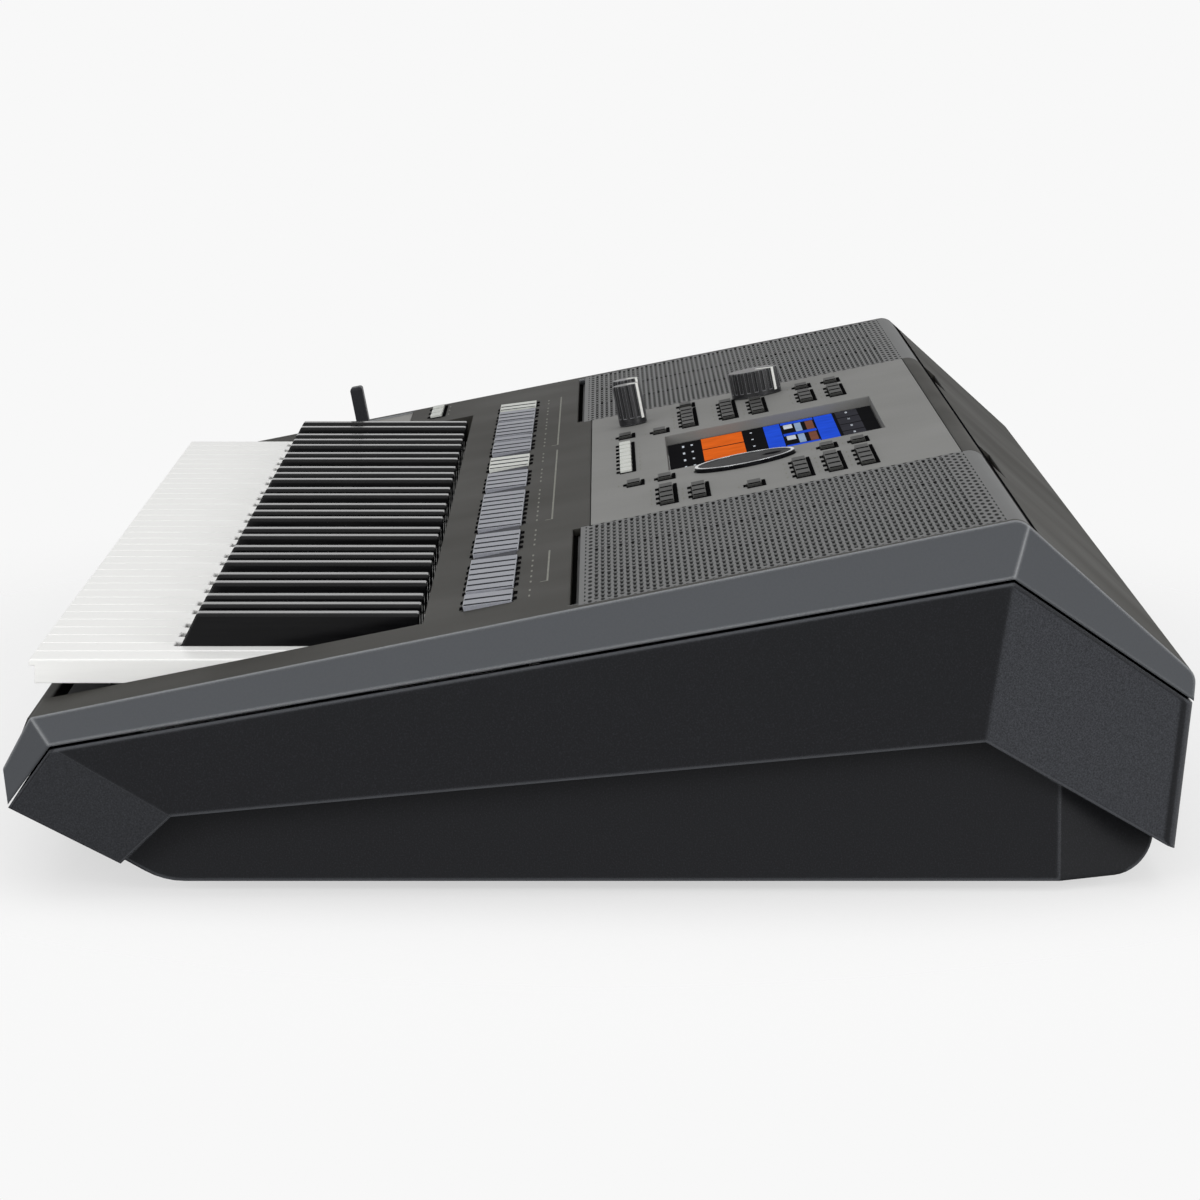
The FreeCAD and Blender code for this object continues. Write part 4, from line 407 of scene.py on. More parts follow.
def studio_paper():
    """Backdrop paper: matt white with a faint tooth, fading into the pale background."""
    material, add, place = new_material("matt_backdrop_paper")
    # The paper fades out over an oval, whose halves are in metres.
    half_long, half_deep = 0.75, 0.45
    tooth = add("TexNoise", {"Vector": place, "Scale": 1 / (4 * MM)})
    tint = add("Mix", {
        SHARE: tooth, UNDER: linear("f3f3f3"), OVER: linear("f8f8f8")}, data_type="RGBA")
    paper = add("BsdfPrincipled", {
        "Base Color": tint, "Roughness": 0.95, "Specular IOR Level": 0.0})
    oval = add("Mapping", {"Vector": place, "Scale": (1 / half_long, 1 / half_deep, 1.0)})
    outwards = add("VectorMath", [oval], operation="LENGTH")
    fading = add("MapRange", [outwards, 0.55, 1.2], interpolation_type="SMOOTHSTEP")
    # The paper also shows a share of the plain background, which keeps the shadow on it pale.
    share = add("MapRange", [seen_rays(add), 0.0, 1.0, 0.0, 0.6])
    ground = add("Emission", {"Color": linear("f8f8f8"), "Strength": 1.0})
    pale = add("MixShader", [share, paper, ground])
    clear = add("BsdfTransparent")
    return close_material(material, add("MixShader", [fading, pale, clear]))


def finish_nodes(material, *slots):
    """Gives a material to every CAD node of these material slots of the record."""
    for node in frame["nodes"].values():
        for place in node.material_slots:
            if place.material.name.split(".")[0] in slots:
                place.material = material


def clear_selection():
    if bpy.context.object and bpy.context.object.mode != "OBJECT":
        bpy.ops.object.mode_set(mode="OBJECT")
    bpy.ops.object.select_all(action="DESELECT")


def pick(piece):
    """Selects one piece alone and makes it the active one."""
    clear_selection()
    piece.select_set(True)
    bpy.context.view_layer.objects.active = piece


def settle():
    """Moves the place of the selected pieces into their meshes."""
    bpy.ops.object.transform_apply(location=True, rotation=True, scale=True)


def block(name, low, high, softening=0.0, test=None):
    """Starts a piece from a block between two corners, and rounds its edges that pass a test."""
    clear_selection()
    low, high = Vector(low), Vector(high)
    bpy.ops.mesh.primitive_cube_add(size=1.0, location=(low + high) / 2, scale=high - low)
    settle()
    piece = bpy.context.object
    piece.name = name
    if test:
        round_edges(piece, softening, test)
    return piece


def choose(piece, kind, test):
    """Opens a piece for editing and selects its vertices, edges or faces that pass a test."""
    pick(piece)
    bpy.ops.object.mode_set(mode="EDIT")
    bpy.ops.mesh.select_mode(type=kind)
    bpy.ops.mesh.select_all(action="DESELECT")
    mesh = bmesh.from_edit_mesh(piece.data)
    for element in {"VERT": mesh.verts, "EDGE": mesh.edges, "FACE": mesh.faces}[kind]:
        if test(element):
            element.select_set(True)
    mesh.select_flush_mode()
    bmesh.update_edit_mesh(piece.data)


def round_edges(piece, width, test):
    """Rounds the edges of a piece that pass a test."""
    choose(piece, "EDGE", test)
    bpy.ops.mesh.bevel(offset=width, segments=2, profile=0.5, affect="EDGES")
    clear_selection()


def extrude(piece, move, test):
    """Draws out the faces of a piece that pass a test."""
    choose(piece, "FACE", test)
    bpy.ops.mesh.extrude_region_move(TRANSFORM_OT_translate={"value": move})
    clear_selection()


def rising(edge):
    """Whether an edge reaches above the panel."""
    return max(vert.co.z for vert in edge.verts) > 0


def upright(edge):
    """Whether an edge stands at right angles to the panel."""
    return (edge.verts[0].co - edge.verts[1].co).xy.length < 0.01 * MM


def higher(level):
    """A test for the edges that lie wholly above a level."""
    return lambda edge: min(vert.co.z for vert in edge.verts) > level


def flat_ring(name, outer, inner, height, sides):
    """A ring that lies flat at the origin, turned from a disc."""
    clear_selection()
    bpy.ops.mesh.primitive_circle_add(vertices=sides, radius=outer, fill_type="NGON")
    ring = bpy.context.object
    ring.name = name
    choose(ring, "FACE", lambda face: True)
    bpy.ops.mesh.inset(thickness=outer - inner, depth=0.0)
    bpy.ops.mesh.delete(type="FACE")
    bpy.ops.mesh.select_all(action="SELECT")
    bpy.ops.mesh.extrude_region_move(TRANSFORM_OT_translate={"value": (0.0, 0.0, height)})
    bpy.ops.mesh.select_all(action="SELECT")
    bpy.ops.mesh.normals_make_consistent(inside=False)
    clear_selection()
    round_edges(ring, height / 3, higher(height * 0.9))
    return ring


def repeat(pattern, places, name):
    """Copies a pattern to each place, joins the copies into one piece and removes the pattern."""
    copies = []
    for place in places:
        pick(pattern)
        bpy.ops.object.duplicate(linked=False)
        bpy.ops.transform.translate(value=place)
        copies.append(bpy.context.object)
    bpy.data.objects.remove(pattern)
    return join(copies, name)


def join(parts, name):
    """Joins pieces into one whose place is in its mesh."""
    clear_selection()
    for part in parts:
        part.select_set(True)
    bpy.context.view_layer.objects.active = parts[0]
    if len(parts) > 1:
        bpy.ops.object.join()
    settle()
    bpy.context.object.name = name
    return bpy.context.object


def dress(piece, body, material, on_panel=True):
    """Lays a finished piece on the panel, gives it its material and lets it ride on its body."""
    pick(piece)
    if on_panel:
        piece.rotation_euler = (PANEL_ANGLE, 0.0, 0.0)
        piece.location = (0.0, 0.0, PANEL_LEVEL)
        settle()
    piece.data.materials.clear()
    piece.data.materials.append(material)
    bpy.ops.object.shade_smooth_by_angle(angle=SMOOTH_ANGLE)
    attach(piece, body)


def panel_box(node):
    """Lowest and highest corner of a CAD node along, up and off the sloping panel."""
    points = []
    for vertex in frame["nodes"][node].data.vertices:
        x, y, z = vertex.co
        rise = z - PANEL_LEVEL
        points.append((x, y * math.cos(PANEL_ANGLE) + rise * math.sin(PANEL_ANGLE),
                       rise * math.cos(PANEL_ANGLE) - y * math.sin(PANEL_ANGLE)))
    axes = list(zip(*points))
    return Vector([min(axis) for axis in axes]), Vector([max(axis) for axis in axes])


def cap_middles(node, sizes):
    """Middles, along the keyboard, of the long caps of one group."""
    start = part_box(node)[1].x
    middles = []
    for run in ROW_COUNTS[node]:
        middles += [start - sizes.cap_pitch * (cap + 0.5) for cap in range(run)]
        start -= sizes.cap_pitch * run + sizes.run_gap
    return middles


def row_span():
    """Where the row of long caps starts and ends up the slope."""
    low, high = panel_box("long_buttons_4")
    return low.y, high.y


class CaseFinish(bpy.types.Operator):
    """Gives the case, its panels and its feet their finishes"""
    bl_idname = "keyboard.case_finish"
    bl_label = "Case finish"

    def execute(self, context):
        colours = context.scene.keyboard_colours
        finish_nodes(painted_case(colours), "upper_case")
        # Coarse spark texture on charcoal, with a painted highlight on its edges and paler
        # painted flecks on the facets that lean to the front or rear.
        finish_nodes(grained_abs(
            "spark_textured_ABS_lower_case", colours.lower, linear("1d1e22"), grain=0.6,
            depth=0.1, roughness=0.5, edge=2.2, gloss=0.14, edge_highlight=linear("505256"),
            facet_highlight=linear("4a4c51")), "lower_case")
        # Fine grey paint over ABS: nearly even, with a slight metallic fleck.
        finish_nodes(grained_abs(
            "flecked_paint_centre_panel", colours.centre, linear("7b7b79"), grain=0.5,
            depth=0.03, roughness=0.6, edge=0.8, gloss=0.05), "centre_panel")
        finish_nodes(perforated_steel(colours), "grille")
        # Unpainted black ABS of frames and brackets: dull, with a faint grain.
        finish_nodes(grained_abs(
            "black_ABS_brackets", linear("1a1a1b"), linear("2a2a2b"), grain=0.8, depth=0.05,
            roughness=0.6, edge=0.5), "dark_plastic", "socket")
        # Moulded rubber: very dull and slightly dusty.
        finish_nodes(grained_abs(
            "moulded_rubber_feet", linear("131313"), linear("242424"), grain=1.5, depth=0.08,
            roughness=0.85, edge=1.0), "foot_rubber", "contact_rubber")
        # Zinc-plated steel: pale, with a soft cloudy gloss.
        finish_nodes(
            spun_metal("zinc_plated_steel", linear("a8aaac"), roughness=0.35, brush=4.0),
            "steel", "screw_steel")
        # Charcoal key felt: matted wool fibres about 1 mm long, nearly without sheen.
        finish_nodes(matted_fibres(
            "needled_wool_felt", "1d1d1e", "343436", length=1.0, curl=1.5, relief=0.8, depth=0.3,
            skin={"Roughness": 0.95, "Specular IOR Level": 0.05, "Sheen Weight": 0.05}), "felt")
        finish_nodes(lacquered_board(), "circuit_board")
        # Speaker cone of black-dyed pulp: mottled and dull.
        finish_nodes(matted_fibres(
            "pressed_paper_cone", "141414", "2c2b29", length=2.0, curl=0.8, relief=0.5,
            depth=0.15, skin={"Roughness": 0.85}), "speaker_cone")
        finish_nodes(smoked_acrylic(), "display", "display_glass")
        return {"FINISHED"}


class KeyFinish(bpy.types.Operator):
    """Gives the white and black keys their finishes"""
    bl_idname = "keyboard.key_finish"
    bl_label = "Key finish"

    def execute(self, context):
        colours = context.scene.keyboard_colours
        # Moulded acrylic: clean white with a soft gloss.
        finish_nodes(polished_plastic(
            "moulded_acrylic_white_key", colours.white_key, linear("e7e7e5"), roughness=0.35,
            edge=0.5, gloss=0.08), "white_key")
        # Polished phenolic: deep black that mirrors the room at a low angle.
        finish_nodes(polished_plastic(
            "polished_phenolic_black_key", colours.black_key, linear("0c0c0d"), roughness=0.16,
            edge=1.2, gloss=0.14), "black_key")
        return {"FINISHED"}


class ControlFinish(bpy.types.Operator):
    """Gives the caps, knobs, dials and the joystick their finishes"""
    bl_idname = "keyboard.control_finish"
    bl_label = "Control finish"

    def execute(self, context):
        colours = context.scene.keyboard_colours
        # Satin ABS caps: even colour with a fine grain of lighter flecks, and a paler painted
        # highlight on their edges.
        for cap, colour, fleck, gloss in (("long", colours.long_cap, "9c9ea4", 0.06),
                                          ("white", colours.white_cap, "cfd1cb", 0.06),
                                          ("small", colours.small_cap, "4c4c4a", 0.04)):
            finish_nodes(grained_abs(
                f"satin_ABS_{cap}_cap", colour, linear(fleck), grain=0.5, depth=0.03,
                roughness=0.5, edge=0.6, gloss=gloss), cap + "_button")
        # Soft-touch coat of knobs and joystick: near black and dull with a fine grain, and a bright
        # painted highlight on the knobs' edges.
        finish_nodes(grained_abs(
            "soft_touch_knob", linear("131315"), linear("303033"), grain=0.6, depth=0.05,
            roughness=0.35, edge=0.3, gloss=0.3, edge_highlight=linear("8a8b8e")), "knob")
        finish_nodes(grained_abs(
            "soft_touch_joystick", linear("232427"), linear("343539"), grain=0.6, depth=0.04,
            roughness=0.45, edge=0.8), "joystick")
        # Piano-black dial: deep and even, with faint rubbed streaks.
        finish_nodes(polished_plastic(
            "piano_black_dial", linear("0c0c0e"), linear("1e1e20"), roughness=0.3, edge=0.8,
            gloss=0.002), "dial")
        return {"FINISHED"}


class SeamSeals(bpy.types.Operator):
    """Adds the foam seals in the seam of the case and the dark seam behind the ridge"""
    bl_idname = "keyboard.seam_seals"
    bl_label = "Seam seals"

    def execute(self, context):
        # Each seal: half length, place and slope in the side view, width and thickness, in
        # millimetres and degrees.
        seals = []
        for name, half, y, z, slope, width, thick in (
                ("front_seal", 488, -205.5, 45.6, 54.3, 11, 0.9),
                ("rear_seal", 474, 212.6, 72.3, -35.2, 5, 1.1),
                ("deck_seam", 489, 156.5, 134.2, -42.1, 3.0, 0.24)):
            corner = (half * MM, width / 2 * MM, thick / 2 * MM)
            seal = block(name, [-side for side in corner], corner, thick / 5 * MM, lambda edge: (
                abs(edge.verts[0].co.x - edge.verts[1].co.x) > half * MM))
            seal.rotation_euler = (math.radians(slope), 0.0, 0.0)
            seal.location = (0.0, y * MM, z * MM)
            seals.append(join([seal], name))
        # Closed-cell foam: black, dull and finely pitted.
        foam = black_trim("closed_cell_foam", grain=0.8, depth=0.1, roughness=0.9)
        dress(join(seals, "seam_seals"), "case", foam, on_panel=False)
        return {"FINISHED"}


class GrilleBacking(bpy.types.Operator):
    """Adds the punched sheets between the ribs of the grilles and the linings of the slots"""
    bl_idname = "keyboard.grille_backing"
    bl_label = "Grille backing"

    def execute(self, context):
        inner_end, outer_end, rear_margin = 238.0 * MM, 485.0 * MM, 12 * MM
        sheet_front, sheet_thick, softening = -4 * MM, 0.4 * MM, 0.1 * MM
        lining_margin, lining_front, lining_rear = 4 * MM, -14.5 * MM, -7 * MM
        lining_low, lining_high = -3.6 * MM, -3.2 * MM
        top = -context.scene.keyboard_sizes.sheet_drop
        rear = panel_box("speaker_grilles")[1].y - rear_margin
        sheets, linings = [], []
        for side in (-1, 1):
            near, far = sorted((side * inner_end, side * outer_end))
            sheets.append(block(
                "sheet", (near, sheet_front, top - sheet_thick), (far, rear, top), softening,
                higher(top - sheet_thick / 2)))
            linings.append(block(
                "lining", (near - lining_margin, lining_front, lining_low),
                (far + lining_margin, lining_rear, lining_high), softening,
                higher((lining_low + lining_high) / 2)))
        dress(join(sheets, "grille_sheets"), "case",
              frame["nodes"]["speaker_grilles"].material_slots[0].material)
        # Black card: dull, with a faint tooth.
        card = grained_abs(
            "black_card_lining", linear("0a0a0a"), linear("121212"), grain=0.8, depth=0.05,
            roughness=0.9, edge=0.2, gloss=0.0)
        dress(join(linings, "slot_linings"), "case", card)
        return {"FINISHED"}


class RowTrim(bpy.types.Operator):
    """Adds the black stops and the slate fillers along the row of long caps"""
    bl_idname = "keyboard.row_trim"
    bl_label = "Row trim"

    def execute(self, context):
        sizes = context.scene.keyboard_sizes
        front, rear = row_span()
        half, reach, rise = sizes.pip_width / 2, sizes.pip_length, sizes.trim_rise
        stop_gap, filler_gap, flank_gap, flank_end = 0.2 * MM, 0.5 * MM, 0.3 * MM, 0.2 * MM
        flank_low, flank_high = -0.1 * MM, 0.06 * MM
        pip = block(
            "row_stop", (-half, -reach / 2, -rise), (half, reach / 2, rise), rise / 2, rising)
        places = [(middle, end, 0.0) for node in ROW_COUNTS for middle in cap_middles(node, sizes)
                  for end in (front - reach / 2 - stop_gap, rear + reach / 2 + stop_gap)]
        dress(repeat(pip, places, "row_stops"), "case",
              black_trim("black_ABS_row_stops"))
        groups = list(ROW_COUNTS)
        fillers = []
        for treble, bass in zip(groups, groups[1:]):
            low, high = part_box(bass)[1].x + MM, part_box(treble)[0].x - MM
            fillers.append(block(
                "row_filler", (low, front + filler_gap, -rise), (high, rear - filler_gap, rise),
                rise / 2, rising))
        # Painted shade: slate-grey lines laid on the flank of each cap, where it is in shade.
        slate = grained_abs(
            "slate_ABS_cap_flanks", linear("2a2b2e"), linear("3a3b3e"), grain=0.6, depth=0.03,
            roughness=0.6, edge=0.2, gloss=0.0)
        for node in ROW_COUNTS:
            flanks = []
            for middle in cap_middles(node, sizes):
                end = middle + sizes.cap_pitch / 2 - flank_end
                flank = block("flank", (end - sizes.cap_line, front + flank_gap, flank_low),
                              (end, rear - flank_gap, flank_high))
                for side, lift in ((1, sizes.cap_rear_rise), (-1, sizes.cap_front_rise)):
                    choose(flank, "VERT",
                           lambda vert: side * (vert.co.y - (front + rear) / 2) > 0)
                    bpy.ops.transform.translate(value=(0.0, 0.0, lift))
                clear_selection()
                flanks.append(flank)
            dress(join(flanks, node + "_flanks"), node, slate)
        # Slate-grey ABS fillers: flush plates between the groups.
        plate = grained_abs(
            "slate_ABS_fillers", linear("3a3b40"), linear("46474c"), grain=0.6, depth=0.03,
            roughness=0.6, edge=0.3, gloss=0.02)
        dress(join(fillers, "row_fillers"), "case", plate)
        return {"FINISHED"}


class CapStops(bpy.types.Operator):
    """Adds the black stops and edging round the strips of small caps"""
    bl_idname = "keyboard.cap_stops"
    bl_label = "Cap stops"

    def execute(self, context):
        sizes = context.scene.keyboard_sizes
        margin, gap, rise = sizes.frame_margin, sizes.frame_gap, sizes.trim_rise
        stop_half, flank_half, flank_start = 3.2 * MM, 2.6 * MM, 8.6
        flank_sink, flank_rise, softening = 0.1 * MM, 0.06 * MM, 0.02 * MM
        strips = [
            (x - SMALL_PITCH * (count - 1) - SMALL_WIDE, x + SMALL_WIDE, s, SMALL_DEEP)
            for group in SMALL_STRIPS.values() for x, s, count in group]
        stops = [(x, s, SMALL_DEEP) for x, s, _ in SMALL_CAPS]
        for caps, wide, deep in ((NUMBER_CAPS, NUMBER_WIDE, NUMBER_DEEP),
                                 (ARTICULATION_CAPS, ARTICULATION_WIDE, ARTICULATION_DEEP)):
            strips.append((caps[0][0] - wide, caps[-1][0] + wide, caps[0][1], deep))
            stops += [(x, s, deep) for x, s in caps]
        edging = []
        for low, high, s, half in strips:
            left, right = low * MM - gap, high * MM + gap
            front, rear = (s - half) * MM - gap, (s + half) * MM + gap
            bar = block("rear_bar", (left - margin, rear, -rise), (right, rear + margin, rise))
            extrude(bar, (margin, 0.0, 0.0), lambda face: face.normal.x > FACING)
            for side in (left, right):
                arm = side + math.copysign(margin / 2, side - left - rise)
                extrude(bar, (0.0, front - rear, 0.0), lambda face: (
                    face.normal.y < -FACING
                    and abs(face.calc_center_median().x - arm) < margin / 2))
            edging.append(bar)
        stop = block("cap_stop", (-stop_half, -margin / 2, -rise), (stop_half, margin / 2, rise),
                     rise / 2, rising)
        places = [(x * MM, (s - half) * MM - gap - margin / 2, 0.0) for x, s, half in stops]
        edging.append(repeat(stop, places, "cap_stops"))
        # Painted shade: a black line on the treble side of each small cap, where it is in shade.
        black = black_trim("black_ABS_cap_flanks")
        for body in SMALL_STRIPS:
            top = panel_box(body)[1].z
            flank = block("flank", (-sizes.small_line, -flank_half, top - flank_sink),
                          (0.0, flank_half, top + flank_rise), softening, higher(top))
            ends = [((x + flank_start) * MM, s * MM, 0.0)
                    for x, s, owner in SMALL_CAPS if owner == body]
            dress(repeat(flank, ends, body + "_flanks"), body, black)
        # Dark marks before each cap and a dark line behind each strip.
        dress(join(edging, "cap_stops"), "case", black_trim("black_ABS_cap_stops"))
        return {"FINISHED"}


class PanelPrint(bpy.types.Operator):
    """Adds the printed lines and dashes behind the row and beside the small caps"""
    bl_idname = "keyboard.panel_print"
    bl_label = "Panel print"

    def execute(self, context):
        sizes = context.scene.keyboard_sizes
        half, rise = sizes.print_width / 2, sizes.print_rise
        dash_half, dash_step, line_step, line_inset = 2.6 * MM, 6.5 * MM, 13 * MM, 2 * MM
        line_hook = -2.5 * MM
        small_shift, small_step, number_step = 2.0 * MM, 6.6, 6.3
        rear = row_span()[1]
        dash = block(
            "print_dash", (-dash_half, -half, 0.0), (dash_half, half, rise), half * 0.8, upright)
        places = [(middle, rear + dash_step, 0.0)
                  for node in ROW_COUNTS for middle in cap_middles(node, sizes)]
        places += [(x * MM - small_shift, (s - small_step) * MM, 0.0) for x, s, _ in SMALL_CAPS]
        places += [(x * MM, (s + number_step) * MM, 0.0)
                   for x, s in NUMBER_CAPS + ARTICULATION_CAPS]
        prints = [repeat(dash, places, "print_dashes")]
        middle = rear + line_step
        for bass, treble in (("long_buttons_10", "long_buttons_7"),
                             ("long_buttons_6", "long_buttons_4"),
                             ("long_buttons_2", "long_buttons_2")):
            low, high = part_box(bass)[0].x + line_inset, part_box(treble)[1].x - line_inset
            line = block("print_line", (low, middle - half, 0.0), (high, middle + half, rise))
            extrude(line, (sizes.print_width, 0.0, 0.0), lambda face: face.normal.x > FACING)
            extrude(line, (0.0, line_hook, 0.0), lambda face: (
                face.normal.y < -FACING and face.calc_center_median().x > high))
            prints.append(line)
        # Screen-printed ink: thin, matt and slightly uneven.
        ink = grained_abs(
            "screen_printed_ink", context.scene.keyboard_colours.ink, linear("9a9a94"),
            grain=0.8, depth=0.01, roughness=0.7, edge=0.05, gloss=0.0)
        dress(join(prints, "panel_print"), "case", ink)
        return {"FINISHED"}


class ScreenPicture(bpy.types.Operator):
    """Adds the lit tiles of the display"""
    bl_idname = "keyboard.screen_picture"
    bl_label = "Screen picture"

    def execute(self, context):
        glass = panel_box("display_glass")[1].z
        left, right = -76.0, 76.0
        ground_height, tile_height, softening, row_lines = 0.06 * MM, 0.12 * MM, 0.4 * MM, 0.15

        def spread(count, pitch, start, end, front, rear):
            return [(left + start + pitch * tile, left + end + pitch * tile, front, rear)
                    for tile in range(count)]

        thirds, fifths = functools.partial(spread, 3, 52), functools.partial(spread, 5, 31)
        # Tiles of each colour: start and end along the keyboard, then up the slope, in
        # millimetres.
        rows = {
            "ground": ("121214", [(left - 1.5, right + 1.5, 30.5, 125)]),
            "orange": ("e0651f", thirds(0, 48, 46, 65)),
            "blue": ("2350d8", [(left, right, 75, 82.5), (left, right, 98.5, 107)]
                     + thirds(0, 10, 83, 98)),
            "slate": ("34343a", fifths(0, 27.5, 108.5, 118.5)),
            "pale": ("c9d0d8", thirds(12, 30, 84, 88) + fifths(14, 22, 37, 38)
                     + fifths(14, 20, 41, 42) + fifths(14, 18, 68.5, 69.5)
                     + fifths(5, 12, 113, 114)),
            "umber": ("7a4d3c", thirds(12, 50, 94, 97.5)),
            "steel": ("8fa6c4", thirds(12, 50, 89, 92)),
        }
        for name, (colour, tiles) in rows.items():
            top = glass + (ground_height if name == "ground" else tile_height)
            made = [block("tile", (start * MM, front * MM, glass), (end * MM, rear * MM, top),
                          softening, upright) for start, end, front, rear in tiles]
            dress(join(made, "screen_" + name), "case",
                  backlit_film("backlit_film_" + name, linear(colour), row_lines))
        return {"FINISHED"}


class DialRing(bpy.types.Operator):
    """Adds the bright ring on the data dial"""
    bl_idname = "keyboard.dial_ring"
    bl_label = "Dial ring"

    def execute(self, context):
        low, high = panel_box("data_dial")
        radius = (high.x - low.x) / 2
        rim_inset = 0.1 * MM
        inner = radius - context.scene.keyboard_sizes.ring_width
        ring = flat_ring("dial_ring", radius - rim_inset, inner, height=0.25 * MM, sides=96)
        ring.location = ((low.x + high.x) / 2, (low.y + high.y) / 2, high.z)
        # Bright chrome: an almost clean mirror.
        chrome = spun_metal("bright_chrome_ring", linear("9a9c9e"), roughness=0.12, brush=3.0)
        dress(join([ring], "dial_ring"), "data_dial", chrome)
        return {"FINISHED"}


class KnobStripes(bpy.types.Operator):
    """Adds the white stripes on the live knobs and the volume dial"""
    bl_idname = "keyboard.knob_stripes"
    bl_label = "Knob stripes"

    def execute(self, context):
        half = context.scene.keyboard_sizes.stripe_width / 2
        turn = math.radians(-40)
        sink, rise, overhang = 0.1 * MM, 0.15 * MM, 0.25 * MM
        start_share, flank_share = 0.2, 0.85
        # White inlay ink: matt and clean.
        ink = grained_abs(
            "white_inlay_ink", linear("e6e6e2"), linear("f0f0ec"), grain=0.6, depth=0.01,
            roughness=0.5, edge=0.1)
        for node in ("live_knob_1", "live_knob_2", "volume_dial"):
            low, high = panel_box(node)
            radius, top = (high.x - low.x) / 2, high.z
            stripe = block(node + "_stripe", (-half, start_share * radius, top - sink),
                           (half, radius, top + rise))
            extrude(stripe, (0.0, overhang, 0.0), lambda face: face.normal.y > FACING)
            extrude(stripe, (0.0, 0.0, -flank_share * top), lambda face: (
                face.normal.z < -FACING and face.calc_center_median().y > radius))
            stripe.rotation_euler = (0.0, 0.0, turn)
            stripe.location = ((low.x + high.x) / 2, (low.y + high.y) / 2, 0.0)
            dress(join([stripe], node + "_stripe"), node, ink)
        return {"FINISHED"}


class JoystickPlate(bpy.types.Operator):
    """Adds the pale plate in the joystick's tray"""
    bl_idname = "keyboard.joystick_plate"
    bl_label = "Joystick plate"

    def execute(self, context):
        low, high = (-492 * MM, -150 * MM, -1.2 * MM), (-407.5 * MM, -102 * MM, -0.8 * MM)
        pivot, hole_radius = (-453 * MM, -126.46 * MM, 0.0), 13.9 * MM
        plate = block("joystick_plate", low, high)
        clear_selection()
        bpy.ops.mesh.primitive_cylinder_add(
            vertices=64, radius=hole_radius, depth=10 * MM, location=pivot)
        cutter = bpy.context.object
        pick(plate)
        hole = plate.modifiers.new("hole", "BOOLEAN")
        hole.object = cutter
        hole.operation = "DIFFERENCE"
        bpy.ops.object.modifier_apply(modifier=hole.name)
        bpy.data.objects.remove(cutter)
        # Lighter sprayed ABS: a satin patch in the dark panel.
        satin = grained_abs(
            "sprayed_ABS_joystick_plate", linear("6b6a66"), linear("7a7975"), grain=0.6,
            depth=0.03, roughness=0.45, edge=0.3)
        dress(plate, "case", satin)
        return {"FINISHED"}


class JackNuts(bpy.types.Operator):
    """Adds the ring nuts round the jack sockets on the rear"""
    bl_idname = "keyboard.jack_nuts"
    bl_label = "Jack nuts"

    def execute(self, context):
        thread, bore, rear_wall, jack_level = 5.9 * MM, 6.0 * MM, 211.5 * MM, 27.6 * MM
        jacks = (160, 136, 112, 88)
        outer = thread + context.scene.keyboard_sizes.nut_width
        nut = flat_ring("jack_nut", outer, bore, height=1.2 * MM, sides=48)
        nut.rotation_euler = (-math.pi / 2, 0.0, 0.0)
        nut.location = (0.0, rear_wall, jack_level)
        places = [(x * MM, 0.0, 0.0) for x in jacks]
        nuts = repeat(join([nut], "jack_nut"), places, "jack_nuts")
        # Nickel-plated nuts: pale and softly shiny.
        nickel = spun_metal("nickel_plated_nuts", linear("b9b7b0"), roughness=0.25, brush=2.0)
        dress(nuts, "case", nickel, on_panel=False)
        return {"FINISHED"}


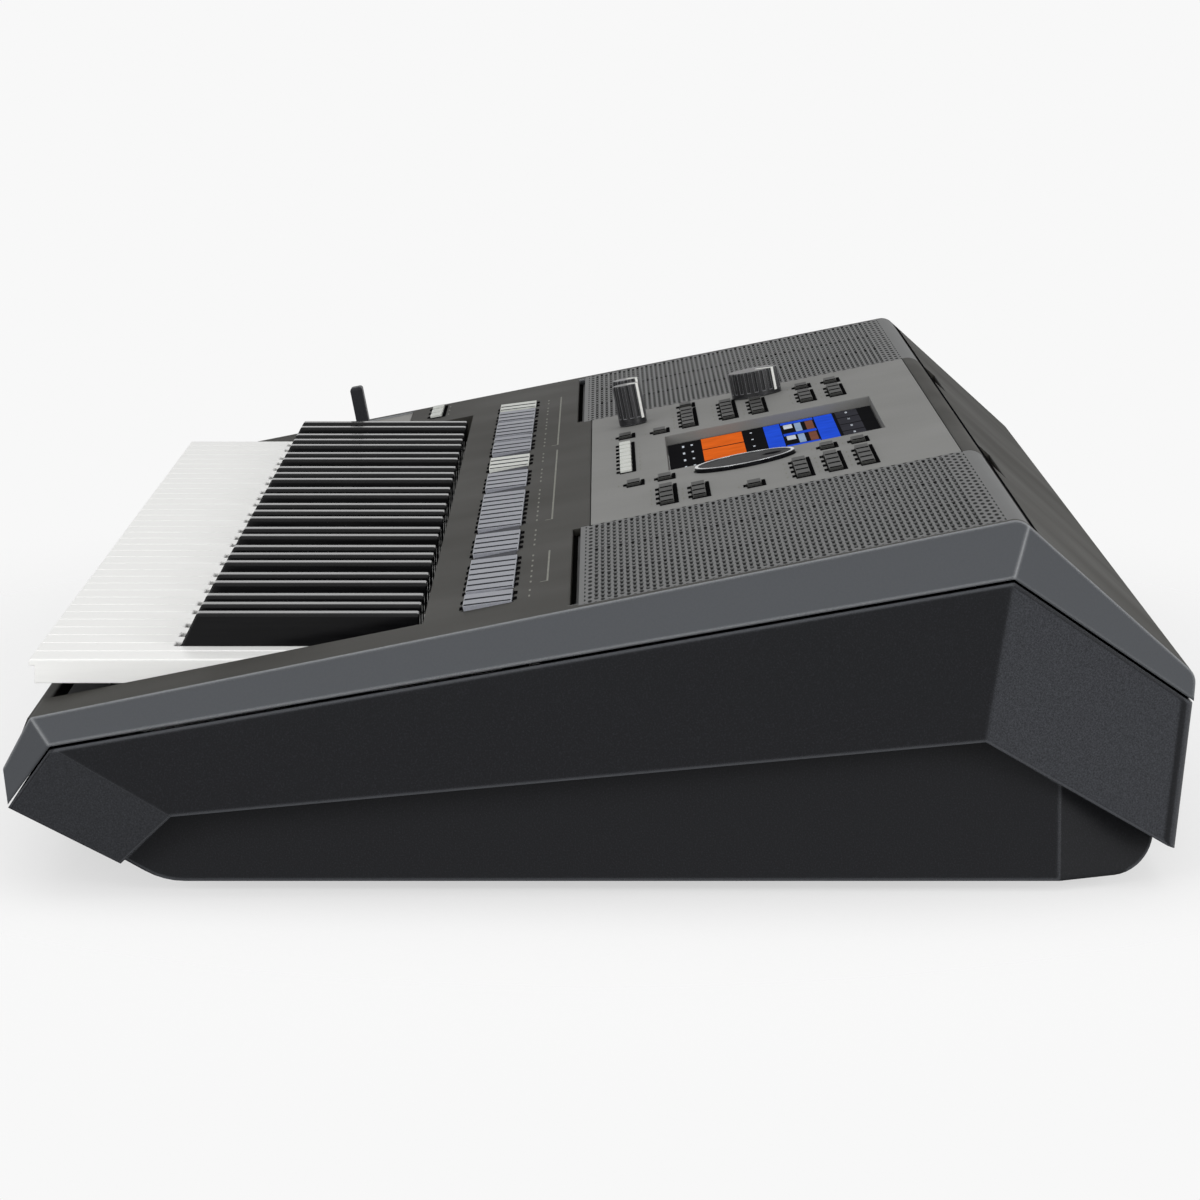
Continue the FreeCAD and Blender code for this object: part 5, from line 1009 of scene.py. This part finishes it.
class Stage(bpy.types.Operator):
    """Sets the floor, the light, the pale background and the camera"""
    bl_idname = "keyboard.stage"
    bl_label = "Stage"

    def execute(self, context):
        scene = context.scene
        clear_selection()
        bpy.ops.mesh.primitive_circle_add(
            vertices=96, radius=1.6, fill_type="NGON", location=(0.0, 0.0, 0.0))
        floor = context.object
        floor.name = "floor"
        floor.data.materials.append(studio_paper())

        # Softboxes: place, aim, width, height and power.
        for name, place, aim, width, height, power in (
                ("overhead", (0.2, 0.0, 3.0), (0.0, 0.0, 0.0), 3.6, 3.6, 36.0),
                ("front_box", (2.6, -2.1, 0.7), (0.4, 0.0, 0.1), 1.6, 1.2, 34.0),
                ("rear_box", (2.4, 2.2, 0.7), (0.4, 0.0, 0.1), 1.6, 1.2, 46.0),
                ("camera_fill", (4.2, -0.6, 1.8), (0.3, 0.0, 0.1), 2.4, 1.6, 18.0)):
            bpy.ops.object.light_add(type="AREA", location=place)
            lamp = context.object
            lamp.name = name
            lamp.data.shape = "RECTANGLE"
            lamp.data.size, lamp.data.size_y = width, height
            lamp.data.energy = power
            direction = Vector(aim) - Vector(place)
            lamp.rotation_euler = direction.to_track_quat("-Z", "Y").to_euler()

        world = bpy.data.worlds.new("studio")
        world.use_nodes = True
        scene.world = world
        world.node_tree.nodes.clear()
        add = functools.partial(add_node, world.node_tree)
        ambient = add("Background", {"Color": linear("ffffff"), "Strength": 0.55})
        pale = add("Background", {"Color": linear("f8f8f8"), "Strength": 1.0})
        mixed = add("MixShader", [seen_rays(add), ambient, pale])
        add("OutputWorld", {"Surface": mixed})

        # The camera looks at the treble end and a little down, as it was fitted to the photograph.
        downwards = 7.0304
        bpy.ops.object.camera_add(
            location=(2.54084, -0.00029, 0.36155),
            rotation=(math.radians(90 - downwards), 0.0, math.radians(90)))
        camera = context.object
        camera.data.lens = 171.605
        camera.data.sensor_width = 36.0
        camera.data.clip_end = 200.0
        scene.camera = camera
        scene.view_settings.view_transform = "Standard"
        return {"FINISHED"}


class KeyboardPanel(bpy.types.Panel):
    """Lists the steps of the finish"""
    bl_idname = "VIEW3D_PT_keyboard"
    bl_label = "Arranger keyboard"
    bl_space_type = "VIEW_3D"
    bl_region_type = "UI"
    bl_category = "Keyboard"

    def draw(self, context):
        for step in STEPS:
            self.layout.operator(step.bl_idname)
        for group in (context.scene.keyboard_colours, context.scene.keyboard_sizes):
            for name in group.bl_rna.properties.keys():
                if name not in ("rna_type", "name"):
                    self.layout.prop(group, name)


STEPS = (
    CaseFinish, KeyFinish, ControlFinish, SeamSeals, GrilleBacking, RowTrim, CapStops, PanelPrint,
    ScreenPicture, DialRing, KnobStripes, JoystickPlate, JackNuts, Stage)
CLASSES = (KeyboardColours, KeyboardSizes) + STEPS + (KeyboardPanel,)


def register():
    for kind in CLASSES:
        bpy.utils.register_class(kind)
    bpy.types.Scene.keyboard_colours = PointerProperty(type=KeyboardColours)
    bpy.types.Scene.keyboard_sizes = PointerProperty(type=KeyboardSizes)


def unregister():
    del bpy.types.Scene.keyboard_sizes
    del bpy.types.Scene.keyboard_colours
    for kind in reversed(CLASSES):
        bpy.utils.unregister_class(kind)


def main():
    register()
    bpy.ops.keyboard.case_finish()
    bpy.ops.keyboard.key_finish()
    bpy.ops.keyboard.control_finish()
    bpy.ops.keyboard.seam_seals()
    bpy.ops.keyboard.grille_backing()
    bpy.ops.keyboard.row_trim()
    bpy.ops.keyboard.cap_stops()
    bpy.ops.keyboard.panel_print()
    bpy.ops.keyboard.screen_picture()
    bpy.ops.keyboard.dial_ring()
    bpy.ops.keyboard.knob_stripes()
    bpy.ops.keyboard.joystick_plate()
    bpy.ops.keyboard.jack_nuts()
    bpy.ops.keyboard.stage()


if __name__ == "__main__":
    main()
